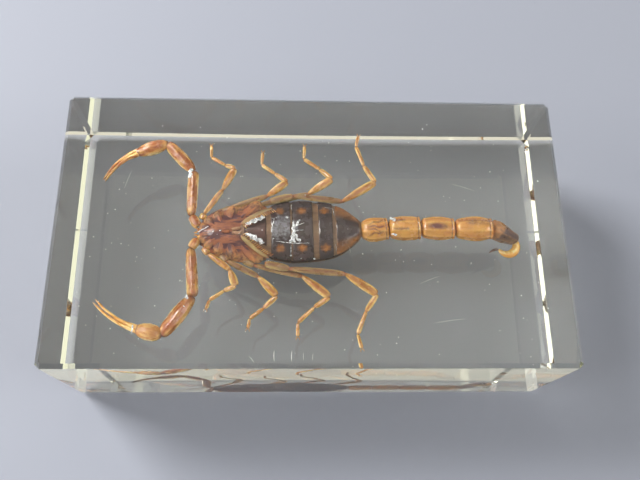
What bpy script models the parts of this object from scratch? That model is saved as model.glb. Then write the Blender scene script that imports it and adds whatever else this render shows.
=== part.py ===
"""Clear cast resin block that holds a dried scorpion, as one solid.

The block is a cast bar of polyester resin, ground and polished on all six sides. The specimen is
sealed in the casting and has no opening of its own, so the block is the only solid here.
Units are metres, +Z is up, and the origin is the middle of the underside.
"""

import bmesh
import bpy

# Driving dimensions.
BLOCK_LENGTH = 0.073
BLOCK_WIDTH = 0.041
BLOCK_HEIGHT = 0.022

# Flats that grinding leaves on the edges. The underside's edge is cut back further than the top's,
# and the four upright edges are left sharp.
TOP_EDGE_CUT = 0.0006
BASE_EDGE_CUT = 0.0009

# Two edges count as being at the same height when they are this close.
HEIGHT_TOLERANCE = 1e-6

RESIN_TINT = (0.93, 0.95, 0.86, 1.0)
RESIN_ROUGHNESS = 0.03
RESIN_IOR = 1.55


def clear_scene():
    """Remove whatever the scene starts with."""
    for scene_object in list(bpy.data.objects):
        bpy.data.objects.remove(scene_object)


def make_resin_material():
    """Return the clear, faintly yellow polyester resin."""
    material = bpy.data.materials.new("clear_resin")
    material.use_nodes = True
    shader = material.node_tree.nodes["Principled BSDF"]
    shader.inputs["Base Color"].default_value = RESIN_TINT
    shader.inputs["Metallic"].default_value = 0.0
    shader.inputs["Roughness"].default_value = RESIN_ROUGHNESS
    shader.inputs["IOR"].default_value = RESIN_IOR
    shader.inputs["Transmission Weight"].default_value = 1.0
    return material


def is_at_height(edge, height):
    """Tell whether both ends of an edge are at one height."""
    return all(abs(vertex.co.z - height) < HEIGHT_TOLERANCE for vertex in edge.verts)


def cut_edges(mesh, edges, cut):
    """Cut the given edges of a bmesh back to one flat each."""
    bmesh.ops.bevel(
        mesh,
        geom=edges,
        offset=cut,
        offset_type="OFFSET",
        segments=1,
        affect="EDGES",
        clamp_overlap=True,
    )


def add_resin_block():
    """Add the polished block and cut back the edges of its top and its underside."""
    bpy.ops.mesh.primitive_cube_add(size=1.0, location=(0.0, 0.0, BLOCK_HEIGHT / 2))
    block = bpy.context.object
    block.name = "resin_block"
    block.data.name = "resin_block"
    block.scale = (BLOCK_LENGTH, BLOCK_WIDTH, BLOCK_HEIGHT)
    bpy.ops.object.transform_apply(location=True, rotation=True, scale=True)

    mesh = bmesh.new()
    mesh.from_mesh(block.data)
    cut_edges(mesh, [edge for edge in mesh.edges if is_at_height(edge, BLOCK_HEIGHT)], TOP_EDGE_CUT)
    cut_edges(mesh, [edge for edge in mesh.edges if is_at_height(edge, 0.0)], BASE_EDGE_CUT)
    mesh.to_mesh(block.data)
    mesh.free()

    block.data.materials.append(make_resin_material())
    return block


def move_to_collection(block):
    """Put the block in a collection named for the object."""
    collection = bpy.data.collections.new("scorpion_in_resin_block")
    bpy.context.scene.collection.children.link(collection)
    for other in list(block.users_collection):
        other.objects.unlink(block)
    collection.objects.link(block)


def main():
    """Build the part."""
    clear_scene()
    move_to_collection(add_resin_block())


main()
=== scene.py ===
"""Looks of a small dried scorpion cast belly up in a clear resin block.

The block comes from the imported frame. The scorpion sealed in it is modelled here, with one unit to
the millimetre, and each finished piece is then brought to metres. In the animal's own frame +X runs
from head to tail, +Z is its belly side, and the origin is on its middle line, between the front
body and the belly plates.
"""

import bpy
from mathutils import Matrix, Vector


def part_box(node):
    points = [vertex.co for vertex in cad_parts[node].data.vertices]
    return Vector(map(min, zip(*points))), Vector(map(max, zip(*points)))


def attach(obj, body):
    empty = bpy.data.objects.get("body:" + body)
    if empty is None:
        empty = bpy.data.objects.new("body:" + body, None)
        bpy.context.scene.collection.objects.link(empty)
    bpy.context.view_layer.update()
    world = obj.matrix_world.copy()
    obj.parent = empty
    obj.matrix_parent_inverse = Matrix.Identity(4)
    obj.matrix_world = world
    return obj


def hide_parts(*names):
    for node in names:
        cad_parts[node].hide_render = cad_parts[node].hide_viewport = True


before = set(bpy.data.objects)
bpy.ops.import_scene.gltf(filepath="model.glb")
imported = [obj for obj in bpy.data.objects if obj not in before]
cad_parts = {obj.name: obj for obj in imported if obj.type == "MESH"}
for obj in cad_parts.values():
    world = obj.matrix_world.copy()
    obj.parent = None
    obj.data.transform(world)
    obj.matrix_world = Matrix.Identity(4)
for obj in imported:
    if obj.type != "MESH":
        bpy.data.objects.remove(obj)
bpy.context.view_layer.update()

import logging
import math
from collections.abc import Callable, Iterable, Sequence
from dataclasses import dataclass, field
from enum import Enum
from itertools import count
from typing import NamedTuple

import bmesh
import bpy
import numpy as np
from mathutils import Matrix, Vector

LOG = logging.getLogger("scorpion_block")

MM = 0.001
TINY = 1e-5
LIGHT_TARGET = (0.0, 0.0, 0.01)

PIECE_NUMBERS = count(1)

Colour = tuple[float, float, float]
Point = tuple[float, float, float]


# ---------------------------------------------------------------- names and options


class Slot(Enum):
    """The record's material slots."""

    RESIN = "clear_resin"
    AMBER = "amber_cuticle"
    DARK = "dark_cuticle"
    MEMBRANE = "pale_membrane"
    AIR = "trapped_air"


class Side(Enum):
    """The animal's own sides. It lies on its back, so its left is at +Y."""

    LEFT = 1
    RIGHT = -1

    @property
    def word(self) -> str:
        """Return the side as it stands in a piece's name."""
        return self.name.lower()


class Section(Enum):
    """How a limb's cross-section is shaped."""

    ROUND = 1.0
    KEELED = 0.88


# ---------------------------------------------------------------- modelling bench


class Ring(NamedTuple):
    """One cross-section of a tube that runs along +X, in millimetres."""

    along: float
    wide: float
    deep: float
    side: float = 0.0
    lift: float = 0.0

    @property
    def centre(self) -> Point:
        """Return the middle of the ring."""
        return (self.along, self.side, self.lift)


class Swell(NamedTuple):
    """A limb's thickness at one share of its length, as a share of its full width and depth."""

    share: float
    wide: float
    deep: float


def profile(*rows: tuple[float, float, float]) -> tuple[Swell, ...]:
    """Return a limb's swells from rows of share, width and depth."""
    return tuple(Swell(*row) for row in rows)


def deselect() -> None:
    """Leave edit mode and deselect every object."""
    if bpy.context.object is not None and bpy.context.object.mode != "OBJECT":
        bpy.ops.object.mode_set(mode="OBJECT")
    bpy.ops.object.select_all(action="DESELECT")


def pick_out(piece: bpy.types.Object) -> None:
    """Make a piece the only selected one, and the active one.

    Args:
        piece: The piece to work on.
    """
    deselect()
    piece.select_set(True)
    bpy.context.view_layer.objects.active = piece


def select_verts(piece: bpy.types.Object, test: Callable[[Vector], bool]) -> int:
    """Select a piece's vertices by their place, in edit mode.

    Args:
        piece: The piece, in edit mode.
        test: Says whether the vertex at a place is wanted.

    Returns:
        How many vertices are selected.
    """
    bpy.ops.mesh.select_mode(type="VERT")
    bpy.ops.mesh.select_all(action="DESELECT")
    mesh = bmesh.from_edit_mesh(piece.data)
    chosen = [vert for vert in mesh.verts if test(vert.co)]
    for vert in chosen:
        vert.select_set(True)
    mesh.select_flush(True)
    bmesh.update_edit_mesh(piece.data)
    return len(chosen)


def select_edges(piece: bpy.types.Object, test: Callable[[Vector, Vector], bool]) -> int:
    """Select a piece's edges by the places of their ends, in edit mode.

    Args:
        piece: The piece, in edit mode.
        test: Says whether the edge between two places is wanted.

    Returns:
        How many edges are selected.
    """
    bpy.ops.mesh.select_mode(type="EDGE")
    bpy.ops.mesh.select_all(action="DESELECT")
    mesh = bmesh.from_edit_mesh(piece.data)
    chosen = [edge for edge in mesh.edges if test(edge.verts[0].co, edge.verts[1].co)]
    for edge in chosen:
        edge.select_set(True)
    bmesh.update_edit_mesh(piece.data)
    return len(chosen)


def apply_modifier(piece: bpy.types.Object, kind: str, **settings: object) -> None:
    """Add a modifier, set it and apply it.

    Args:
        piece: The piece to change.
        kind: Blender's name for the modifier's type.
        **settings: Values for the modifier's properties.
    """
    pick_out(piece)
    modifier = piece.modifiers.new(kind.lower(), kind)
    for key, value in settings.items():
        setattr(modifier, key, value)
    bpy.ops.object.modifier_apply(modifier=modifier.name)


def smooth(piece: bpy.types.Object, rounds: int) -> None:
    """Subdivide a piece to a smooth form.

    Args:
        piece: The piece to smooth.
        rounds: How many times its faces are divided.
    """
    apply_modifier(piece, "SUBSURF", levels=rounds, render_levels=rounds)
    bpy.ops.object.shade_smooth()


def face_outwards(piece: bpy.types.Object) -> None:
    """Turn every face of a closed piece outwards."""
    pick_out(piece)
    bpy.ops.object.mode_set(mode="EDIT")
    bpy.ops.mesh.select_all(action="SELECT")
    bpy.ops.mesh.normals_make_consistent(inside=False)
    bpy.ops.object.mode_set(mode="OBJECT")


def roughen(piece: bpy.types.Object, amount: float, grain: float, seed: float = 0.0) -> None:
    """Push a piece's surface in and out a little, as on grown cuticle.

    Args:
        piece: The piece to change.
        amount: How far the highest bump stands from the deepest hollow.
        grain: The size of one bump.
        seed: Shifts the pattern, so that copies differ.
    """
    texture = bpy.data.textures.new(piece.name + "_relief", "CLOUDS")
    texture.noise_scale = grain
    texture.noise_depth = 1
    shift = Matrix.Translation((seed, seed * 0.7, 0.0))
    piece.data.transform(shift)
    apply_modifier(piece, "DISPLACE", texture=texture, texture_coords="LOCAL",
                   strength=amount, mid_level=0.5)
    piece.data.transform(shift.inverted())
    bpy.data.textures.remove(texture)


def loft(name: str, rings: Sequence[Ring], sides: int = 12,
         section: Section = Section.ROUND, rounds: int = 2) -> bpy.types.Object:
    """Make a closed tube by extruding a disc from ring to ring along +X.

    Args:
        name: The piece's name.
        rings: The cross-sections, from the tube's start to its end.
        sides: How many corners a cross-section has.
        section: Round, or with lengthwise keels at every other corner.
        rounds: How many times the tube is smoothed.

    Returns:
        The tube, with its mesh in place.
    """
    first = rings[0]
    deselect()
    bpy.ops.mesh.primitive_circle_add(vertices=sides, radius=1.0, fill_type="NGON",
                                      location=first.centre, rotation=(0.0, math.pi / 2, 0.0))
    piece = bpy.context.object
    piece.name = name
    bpy.ops.object.transform_apply(location=True, rotation=True, scale=True)
    bpy.ops.object.mode_set(mode="EDIT")
    if section is not Section.ROUND:
        step = math.pi / sides

        def in_valley(corner: Vector) -> bool:
            """Tell whether a corner of the first disc lies between two keels."""
            angle = math.atan2(corner.y - first.side, corner.z - first.lift)
            return round(angle / (2 * step)) % 2 == 1

        select_verts(piece, in_valley)
        bpy.ops.transform.resize(value=(1.0, section.value, section.value),
                                 center_override=first.centre)
        bpy.ops.mesh.select_all(action="SELECT")
    bpy.ops.transform.resize(value=(1.0, first.wide, first.deep), center_override=first.centre)
    for last, ring in zip(rings, rings[1:]):
        step_to = (ring.along - last.along, ring.side - last.side, ring.lift - last.lift)
        bpy.ops.mesh.extrude_region_move(TRANSFORM_OT_translate={"value": step_to})
        bpy.ops.transform.resize(value=(1.0, ring.wide / last.wide, ring.deep / last.deep),
                                 center_override=ring.centre)
    face_outwards(piece)
    smooth(piece, rounds)
    return piece


def limb(name: str, length: float, wide: float, deep: float, swells: Sequence[Swell],
         sides: int = 12, section: Section = Section.ROUND, rounds: int = 2,
         bow: float = 0.0) -> bpy.types.Object:
    """Make one limb segment along +X from its thickness along its length.

    Args:
        name: The piece's name.
        length: From one joint to the next.
        wide: Full width at the widest place.
        deep: Full depth at the deepest place.
        swells: The thickness along the length.
        sides: How many corners a cross-section has.
        section: Round or keeled.
        rounds: How many times the segment is smoothed.
        bow: How far its middle stands off to the side.

    Returns:
        The segment, with the attributes that its finish reads.
    """
    rings = [
        Ring(length * swell.share, wide / 2 * swell.wide, deep / 2 * swell.deep,
             side=bow * math.sin(math.pi * min(max(swell.share, 0.0), 1.0)))
        for swell in swells
    ]
    piece = loft(name, rings, sides, section, rounds)
    mark_skin(piece)
    mark(piece, "joint", lambda place: end_mask(place[:, 0] / length))
    return piece


def raise_keels(piece: bpy.types.Object, angles: Sequence[float], height: float,
                sharpness: float = 7.0) -> None:
    """Raise rounded lengthwise keels on a tube along +X, and mark their crests.

    Args:
        piece: The tube.
        angles: Where the keels stand, in degrees from +Z.
        height: How far they stand out at the middle of the tube.
        sharpness: The half width of a keel in degrees.
    """
    rows = places(piece)
    around = np.degrees(np.arctan2(rows[:, 1], rows[:, 2]))
    crest = np.zeros(len(rows))
    for angle in angles:
        gap = (around - angle + 180.0) % 360.0 - 180.0
        crest = np.maximum(crest, np.exp(-((gap / sharpness) ** 2)))
    run = (rows[:, 0] - rows[:, 0].min()) / (rows[:, 0].max() - rows[:, 0].min())
    crest *= np.clip(np.minimum(run, 1.0 - run) / 0.12, 0.0, 1.0)
    out = np.maximum(np.hypot(rows[:, 1], rows[:, 2]), TINY)
    for axis in (1, 2):
        rows[:, axis] += height * crest * rows[:, axis] / out
    put_back(piece, rows)
    mark(piece, "pale_tone_and_painted_light", lambda _: 0.55 * crest)


def mark_core(piece: bpy.types.Object, wide: float, length: float, breadth: float = 0.5) -> None:
    """Mark the dried muscle that shows through the middle of a limb segment, and its pale edges, partly
    thinner cuticle and partly a painted highlight.

    Args:
        piece: The segment, along +X.
        wide: Its full width.
        length: Its length.
        breadth: The core's share of the width.
    """
    rows = places(piece)
    across = np.abs(rows[:, 1]) / (wide / 2 * breadth)
    run = rows[:, 0] / length
    ends = np.clip(np.minimum(run - 0.04, 1.0 - run) / 0.15, 0.0, 1.0)
    mark(piece, "patch", lambda _: np.clip(1.6 - across, 0.0, 1.0) * ends)
    # Pale edges: thinner cuticle, brightened as a painted highlight.
    mark(piece, "pale_tone_and_painted_light", lambda _: np.clip((across * breadth - 0.72) / 0.2, 0.0, 1.0) * ends)


def end_mask(share: np.ndarray) -> np.ndarray:
    """Return 1 at both ends of a segment, falling to 0 a tenth of the way in.

    Args:
        share: Where each point lies along the segment, from 0 to 1.

    Returns:
        The mask for each point.
    """
    return np.clip(1.0 - np.minimum(share, 1.0 - share) / 0.1, 0.0, 1.0)


def places(piece: bpy.types.Object) -> np.ndarray:
    """Return a piece's vertices as rows of x, y and z."""
    flat = np.empty(len(piece.data.vertices) * 3, np.float32)
    piece.data.vertices.foreach_get("co", flat)
    return flat.reshape(-1, 3)


def put_back(piece: bpy.types.Object, rows: np.ndarray) -> None:
    """Move every corner of a piece's mesh to its row of places."""
    piece.data.vertices.foreach_set("co", rows.ravel())


def mark(piece: bpy.types.Object, name: str, rule: Callable[[np.ndarray], np.ndarray]) -> None:
    """Store a mask on a piece's vertices for its finish to read.

    Args:
        piece: The piece to mark.
        name: The attribute's name.
        rule: Gives the mask for rows of places.
    """
    layer = piece.data.attributes.get(name) or piece.data.attributes.new(name, "FLOAT", "POINT")
    layer.data.foreach_set("value", rule(places(piece)).astype(np.float32))


def fade(distance: np.ndarray, reach: float) -> np.ndarray:
    """Return a mask that is 1 at no distance and falls to 0 at the reach."""
    return np.clip(1.0 - distance / reach, 0.0, 1.0)


def mark_skin(piece: bpy.types.Object) -> None:
    """Store where each point lies before the piece is placed, so grain follows it.

    Each piece gets its own stretch of the pattern, so no two repeat.
    """
    layer = piece.data.attributes.new("skin", "FLOAT_VECTOR", "POINT")
    layer.data.foreach_set("vector", (places(piece) + 7.3 * next(PIECE_NUMBERS)).ravel())


def place(piece: bpy.types.Object, at: Point, heading: float = 0.0, rise: float = 0.0,
          roll: float = 0.0) -> bpy.types.Object:
    """Turn a piece that lies along +X, move it, and apply both to its mesh.

    Args:
        piece: The piece, made at the origin.
        at: Where its start goes.
        heading: Degrees from +X towards +Y, seen from above.
        rise: Degrees above level.
        roll: Degrees about its own length.

    Returns:
        The same piece.
    """
    pick_out(piece)
    piece.rotation_euler = (math.radians(roll), -math.radians(rise), math.radians(heading))
    piece.location = at
    bpy.ops.object.transform_apply(location=True, rotation=True, scale=True)
    return piece


def join(name: str, pieces: Sequence[bpy.types.Object]) -> bpy.types.Object:
    """Join pieces that grew together into one object.

    Args:
        name: The joined piece's name.
        pieces: What is joined. The first one's materials come first.

    Returns:
        The joined piece.
    """
    deselect()
    for piece in pieces:
        piece.select_set(True)
    bpy.context.view_layer.objects.active = pieces[0]
    bpy.ops.object.join()
    pieces[0].name = name
    pieces[0].data.name = name
    return pieces[0]


def dress(piece: bpy.types.Object, material: bpy.types.Material) -> bpy.types.Object:
    """Give a piece its only material and return it."""
    piece.data.materials.clear()
    piece.data.materials.append(material)
    return piece


def finish_piece(piece: bpy.types.Object) -> bpy.types.Object:
    """Bring a piece from millimetres to metres and hand it to the frame.

    Args:
        piece: The finished piece, in place.

    Returns:
        The same piece.
    """
    pick_out(piece)
    piece.scale = (MM, MM, MM)
    bpy.ops.object.transform_apply(location=True, rotation=True, scale=True)
    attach(piece, "root")
    LOG.info("%s: %d faces", piece.name, len(piece.data.polygons))
    return piece


# ---------------------------------------------------------------- finishes


class Nodes:
    """A short way to add and join shader nodes."""

    def __init__(self, tree: bpy.types.NodeTree) -> None:
        """Take the tree that the nodes go in."""
        self.tree = tree

    def add(self, kind: str, **settings: object) -> bpy.types.Node:
        """Add a node.

        Args:
            kind: The node's type.
            **settings: Values for the node's properties.

        Returns:
            The new node.
        """
        node = self.tree.nodes.new(kind)
        for key, value in settings.items():
            setattr(node, key, value)
        return node

    def join(self, output: bpy.types.NodeSocket, target: bpy.types.NodeSocket) -> None:
        """Link an output to an input."""
        self.tree.links.new(output, target)

    def noise(self, vector: bpy.types.NodeSocket, scale: float, detail: float = 2.0,
              roughness: float = 0.5) -> bpy.types.NodeSocket:
        """Add a noise texture.

        Args:
            vector: Where the pattern is read.
            scale: How fine it is.
            detail: How many finer layers it has.
            roughness: How strong those are.

        Returns:
            The noise's value.
        """
        node = self.add("ShaderNodeTexNoise")
        node.inputs["Scale"].default_value = scale
        node.inputs["Detail"].default_value = detail
        node.inputs["Roughness"].default_value = roughness
        self.join(vector, node.inputs["Vector"])
        return node.outputs["Fac"]

    def stretch(self, vector: bpy.types.NodeSocket, scale: Point) -> bpy.types.NodeSocket:
        """Add a Mapping node that scales a pattern.

        Args:
            vector: Where the pattern is read.
            scale: How much finer it gets along each axis.

        Returns:
            The scaled vector.
        """
        node = self.add("ShaderNodeMapping")
        node.inputs["Scale"].default_value = scale
        self.join(vector, node.inputs["Vector"])
        return node.outputs["Vector"]

    def span(self, value: bpy.types.NodeSocket, low: float, high: float,
             to_low: float = 0.0, to_high: float = 1.0) -> bpy.types.NodeSocket:
        """Add a clamped Map Range node.

        Args:
            value: What is mapped.
            low: The value that becomes to_low.
            high: The value that becomes to_high.
            to_low: The result at low.
            to_high: The result at high.

        Returns:
            The mapped value.
        """
        node = self.add("ShaderNodeMapRange")
        for key, number in (("From Min", low), ("From Max", high), ("To Min", to_low), ("To Max", to_high)):
            node.inputs[key].default_value = number
        self.join(value, node.inputs["Value"])
        return node.outputs["Result"]

    def blend(self, share: bpy.types.NodeSocket, first: bpy.types.NodeSocket | Colour,
              second: bpy.types.NodeSocket | Colour) -> bpy.types.NodeSocket:
        """Add a colour mix.

        Args:
            share: 0 gives the first colour, 1 the second.
            first: A colour or a socket.
            second: A colour or a socket.

        Returns:
            The mixed colour.
        """
        node = self.add("ShaderNodeMix", data_type="RGBA")
        self.join(share, node.inputs["Factor"])
        for key, colour in (("A", first), ("B", second)):
            target = next(s for s in node.inputs if s.name == key and s.type == "RGBA")
            if isinstance(colour, tuple):
                target.default_value = (*colour, 1.0)
            else:
                self.join(colour, target)
        return next(s for s in node.outputs if s.type == "RGBA")

    def bump(self, height: bpy.types.NodeSocket, strength: float, distance: float,
             normal: bpy.types.NodeSocket | None = None) -> bpy.types.NodeSocket:
        """Add a Bump node.

        Args:
            height: What it follows.
            strength: How strongly.
            distance: How high it stands, in metres.
            normal: Another bump that it builds on.

        Returns:
            The bumped normal.
        """
        node = self.add("ShaderNodeBump")
        node.inputs["Strength"].default_value = strength
        node.inputs["Distance"].default_value = distance
        self.join(height, node.inputs["Height"])
        if normal is not None:
            self.join(normal, node.inputs["Normal"])
        return node.outputs["Normal"]

    def maths(self, operation: str, first: bpy.types.NodeSocket,
              second: bpy.types.NodeSocket | float) -> bpy.types.NodeSocket:
        """Add a Math node.

        Args:
            operation: What it works out.
            first: Its first value.
            second: Its second value.

        Returns:
            The result.
        """
        node = self.add("ShaderNodeMath", operation=operation)
        self.join(first, node.inputs[0])
        if isinstance(second, (int, float)):
            node.inputs[1].default_value = second
        else:
            self.join(second, node.inputs[1])
        return node.outputs[0]


def start_material(name: str) -> tuple[bpy.types.Material, Nodes, bpy.types.Node]:
    """Start a Principled material.

    Args:
        name: The finish's name.

    Returns:
        The material, its node helper and its shader node.
    """
    material = bpy.data.materials.new(name)
    material.use_nodes = True
    return material, Nodes(material.node_tree), material.node_tree.nodes["Principled BSDF"]


class CuticleEffects:
    """Shader node groups that several finishes share, each built once."""

    def __init__(self) -> None:
        """Build the groups."""
        self.streaks = self._streaks()
        self.granules = self._granules()
        self.blotches = self._blotches()

    @staticmethod
    def _new_group(name: str, values: dict[str, float], outputs: Iterable[str]
                   ) -> tuple[bpy.types.NodeTree, "Nodes", bpy.types.Node, bpy.types.Node]:
        """Start a node group.

        Args:
            name: The group's name.
            values: Its number inputs and their defaults.
            outputs: Its number outputs.

        Returns:
            The group, its node helper, its input node and its output node.
        """
        group = bpy.data.node_groups.new(name, "ShaderNodeTree")
        group.interface.new_socket("Vector", in_out="INPUT", socket_type="NodeSocketVector")
        for key, value in values.items():
            socket = group.interface.new_socket(key, in_out="INPUT", socket_type="NodeSocketFloat")
            socket.default_value = value
        for key in outputs:
            group.interface.new_socket(key, in_out="OUTPUT", socket_type="NodeSocketFloat")
        nodes = Nodes(group)
        return group, nodes, nodes.add("NodeGroupInput"), nodes.add("NodeGroupOutput")

    def _streaks(self) -> bpy.types.NodeTree:
        """Return the lengthwise streaks of muscle and light seen through dried cuticle."""
        group, nodes, source, result = self._new_group(
            "lengthwise_streaks", {"Scale": 1.0, "Contrast": 0.5}, ("Mask", "Height"))
        long_grain = nodes.stretch(source.outputs["Vector"], (0.22, 1.0, 1.0))
        texture = nodes.add("ShaderNodeTexNoise")
        texture.inputs["Detail"].default_value = 3.0
        nodes.join(long_grain, texture.inputs["Vector"])
        nodes.join(source.outputs["Scale"], texture.inputs["Scale"])
        centred = nodes.maths("SUBTRACT", texture.outputs["Fac"], 0.5)
        gain = nodes.maths("MULTIPLY", source.outputs["Contrast"], 6.0)
        swing = nodes.maths("MULTIPLY", centred, gain)
        mask = nodes.span(swing, -0.5, 0.5)
        nodes.join(mask, result.inputs["Mask"])
        nodes.join(texture.outputs["Fac"], result.inputs["Height"])
        return group

    def _granules(self) -> bpy.types.NodeTree:
        """Return the rows of tiny rounded granules that roughen cuticle."""
        group, nodes, source, result = self._new_group(
            "cuticle_granules", {"Scale": 5.0, "Cover": 0.5}, ("Mask", "Height"))
        cells = nodes.add("ShaderNodeTexVoronoi", feature="F1")
        cells.inputs["Randomness"].default_value = 0.9
        nodes.join(source.outputs["Vector"], cells.inputs["Vector"])
        nodes.join(source.outputs["Scale"], cells.inputs["Scale"])
        dome = nodes.span(cells.outputs["Distance"], 0.0, 0.45, 1.0, 0.0)
        patchy = nodes.noise(source.outputs["Vector"], 0.9, 1.0)
        cover = nodes.maths("ADD", patchy, source.outputs["Cover"])
        present = nodes.span(cover, 0.85, 1.1)
        height = nodes.maths("MULTIPLY", dome, present)
        nodes.join(height, result.inputs["Height"])
        nodes.join(nodes.span(height, 0.45, 0.8), result.inputs["Mask"])
        return group

    def _blotches(self) -> bpy.types.NodeTree:
        """Return the soft blotches that drying leaves."""
        group, nodes, source, result = self._new_group(
            "drying_blotches", {"Scale": 0.6, "Edge": 0.2}, ("Mask",))
        texture = nodes.add("ShaderNodeTexNoise")
        texture.inputs["Detail"].default_value = 4.0
        texture.inputs["Roughness"].default_value = 0.6
        nodes.join(source.outputs["Vector"], texture.inputs["Vector"])
        nodes.join(source.outputs["Scale"], texture.inputs["Scale"])
        centred = nodes.maths("SUBTRACT", texture.outputs["Fac"], 0.5)
        scaled = nodes.maths("DIVIDE", centred, source.outputs["Edge"])
        nodes.join(nodes.span(scaled, -0.5, 0.5), result.inputs["Mask"])
        return group


@dataclass(frozen=True)
class Cuticle:
    """Dried scorpion cuticle: horn-like, glossy, with streaks, blotches and granules.

    The attribute "joint" darkens its ends and "patch" brings in its second colour. A third attribute
    brings in its third colour: a paler tone on keels, hips and body flanks, pale limb edges that are
    partly thinner cuticle and partly a painted highlight, a painted highlight along the telson, and a
    painted grey sheen where a thin layer of air lies on a belly plate.
    """

    name: str
    pale: Colour
    deep: Colour
    joint: Colour
    patch: Colour
    pale_tone_and_painted_light: Colour
    streak_scale: float = 1.3
    streak_contrast: float = 0.6
    blotch_scale: float = 0.5
    granule_scale: float = 4.5
    granule_cover: float = 0.5
    relief: float = 0.35
    roughness: float = 0.32
    shine: float = 0.85
    coat: float = 0.5
    glow: float = 0.25
    glow_reach: Point = (1.0, 0.45, 0.15)
    glow_depth: float = 0.5 * MM
    refraction: float = 1.56
    coat_roughness: float = 0.1
    ridge_height: float = 0.12 * MM
    grain_height: float = 0.05 * MM

    def build(self, effects: CuticleEffects) -> bpy.types.Material:
        """Return the material.

        Args:
            effects: The shared node groups.

        Returns:
            A new material.
        """
        material, nodes, shader = start_material(self.name)
        skin = nodes.add("ShaderNodeAttribute", attribute_name="skin").outputs["Vector"]

        streaks = self._group(nodes, effects.streaks, skin, Scale=self.streak_scale,
                              Contrast=self.streak_contrast)
        granules = self._group(nodes, effects.granules, skin, Scale=self.granule_scale,
                               Cover=self.granule_cover)
        blotches = self._group(nodes, effects.blotches, skin, Scale=self.blotch_scale, Edge=0.35)

        colour = nodes.blend(streaks.outputs["Mask"], self.deep, self.pale)
        half_blotch = nodes.maths("MULTIPLY", blotches.outputs["Mask"], 0.45)
        colour = nodes.blend(half_blotch, colour, self.deep)
        joint = nodes.add("ShaderNodeAttribute", attribute_name="joint").outputs["Fac"]
        ragged = nodes.maths("MULTIPLY", joint, nodes.span(streaks.outputs["Height"], 0.3, 0.6, 0.7, 1.0))
        colour = nodes.blend(ragged, colour, self.joint)
        patch = nodes.add("ShaderNodeAttribute", attribute_name="patch").outputs["Fac"]
        smudges = nodes.noise(nodes.stretch(skin, (0.45, 1.0, 1.0)), 1.6, 3.0)
        uneven = nodes.span(smudges, 0.36, 0.58, 0.55, 1.0)
        mottled = nodes.maths("MULTIPLY", patch, uneven)
        colour = nodes.blend(mottled, colour, self.patch)
        # Third colour: a paler tone, and painted light: painted highlights on limb edges and the telson, and a
        # painted grey sheen on belly plates.
        pale_tone_and_painted_light = nodes.add("ShaderNodeAttribute", attribute_name="pale_tone_and_painted_light").outputs["Fac"]
        gaps = nodes.span(nodes.noise(skin, 2.2, 3.0), 0.38, 0.58, 0.25, 1.0)
        broken = nodes.maths("MULTIPLY", pale_tone_and_painted_light, gaps)
        colour = nodes.blend(broken, colour, self.pale_tone_and_painted_light)
        speck = nodes.maths("MULTIPLY", granules.outputs["Mask"], 0.3)
        colour = nodes.blend(speck, colour, self.joint)
        nodes.join(colour, shader.inputs["Base Color"])

        rough = nodes.span(blotches.outputs["Mask"], 0.0, 1.0, self.roughness * 0.7, self.roughness * 1.4)
        nodes.join(rough, shader.inputs["Roughness"])
        ridges = nodes.bump(streaks.outputs["Height"], self.relief, self.ridge_height)
        grains = nodes.bump(granules.outputs["Height"], self.relief, self.grain_height, ridges)
        nodes.join(grains, shader.inputs["Normal"])

        shader.inputs["IOR"].default_value = self.refraction
        shader.inputs["Specular IOR Level"].default_value = self.shine
        shader.inputs["Coat Weight"].default_value = self.coat
        shader.inputs["Coat Roughness"].default_value = self.coat_roughness
        shader.inputs["Subsurface Weight"].default_value = self.glow
        shader.inputs["Subsurface Radius"].default_value = self.glow_reach
        shader.inputs["Subsurface Scale"].default_value = self.glow_depth
        return material

    @staticmethod
    def _group(nodes: Nodes, group: bpy.types.NodeTree, vector: bpy.types.NodeSocket,
               **values: float) -> bpy.types.Node:
        """Place a shared group in this material.

        Args:
            nodes: The material's node helper.
            group: The shared group.
            vector: Where its pattern is read.
            **values: Its inputs.

        Returns:
            The group's node.
        """
        node = nodes.add("ShaderNodeGroup", node_tree=group)
        nodes.join(vector, node.inputs["Vector"])
        for key, value in values.items():
            node.inputs[key].default_value = value
        return node


@dataclass(frozen=True)
class ClearResin:
    """Polished polyester resin, faintly yellow, with faint smears and waves in its polish."""

    name: str = "clear_resin"
    refraction: float = 1.55
    tint: Colour = (0.9, 0.9, 0.62)
    tint_density: float = 7.0

    def build(self) -> bpy.types.Material:
        """Return the material."""
        material, nodes, shader = start_material(self.name)
        shader.inputs["Base Color"].default_value = (1.0, 1.0, 1.0, 1.0)
        shader.inputs["IOR"].default_value = self.refraction
        shader.inputs["Transmission Weight"].default_value = 1.0
        place_on = nodes.add("ShaderNodeTexCoord").outputs["Object"]
        smears = nodes.noise(nodes.stretch(place_on, (60.0, 25.0, 60.0)), 1.0, 2.0)
        nodes.join(nodes.span(smears, 0.45, 0.8, 0.0, 0.05), shader.inputs["Roughness"])
        waves = nodes.noise(place_on, 90.0, 1.0)
        nodes.join(nodes.bump(waves, 0.05, 0.1 * MM), shader.inputs["Normal"])
        depth = nodes.add("ShaderNodeVolumeAbsorption")
        depth.inputs["Color"].default_value = (*self.tint, 1.0)
        depth.inputs["Density"].default_value = self.tint_density
        nodes.join(depth.outputs["Volume"], nodes.tree.nodes["Material Output"].inputs["Volume"])
        return material


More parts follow.
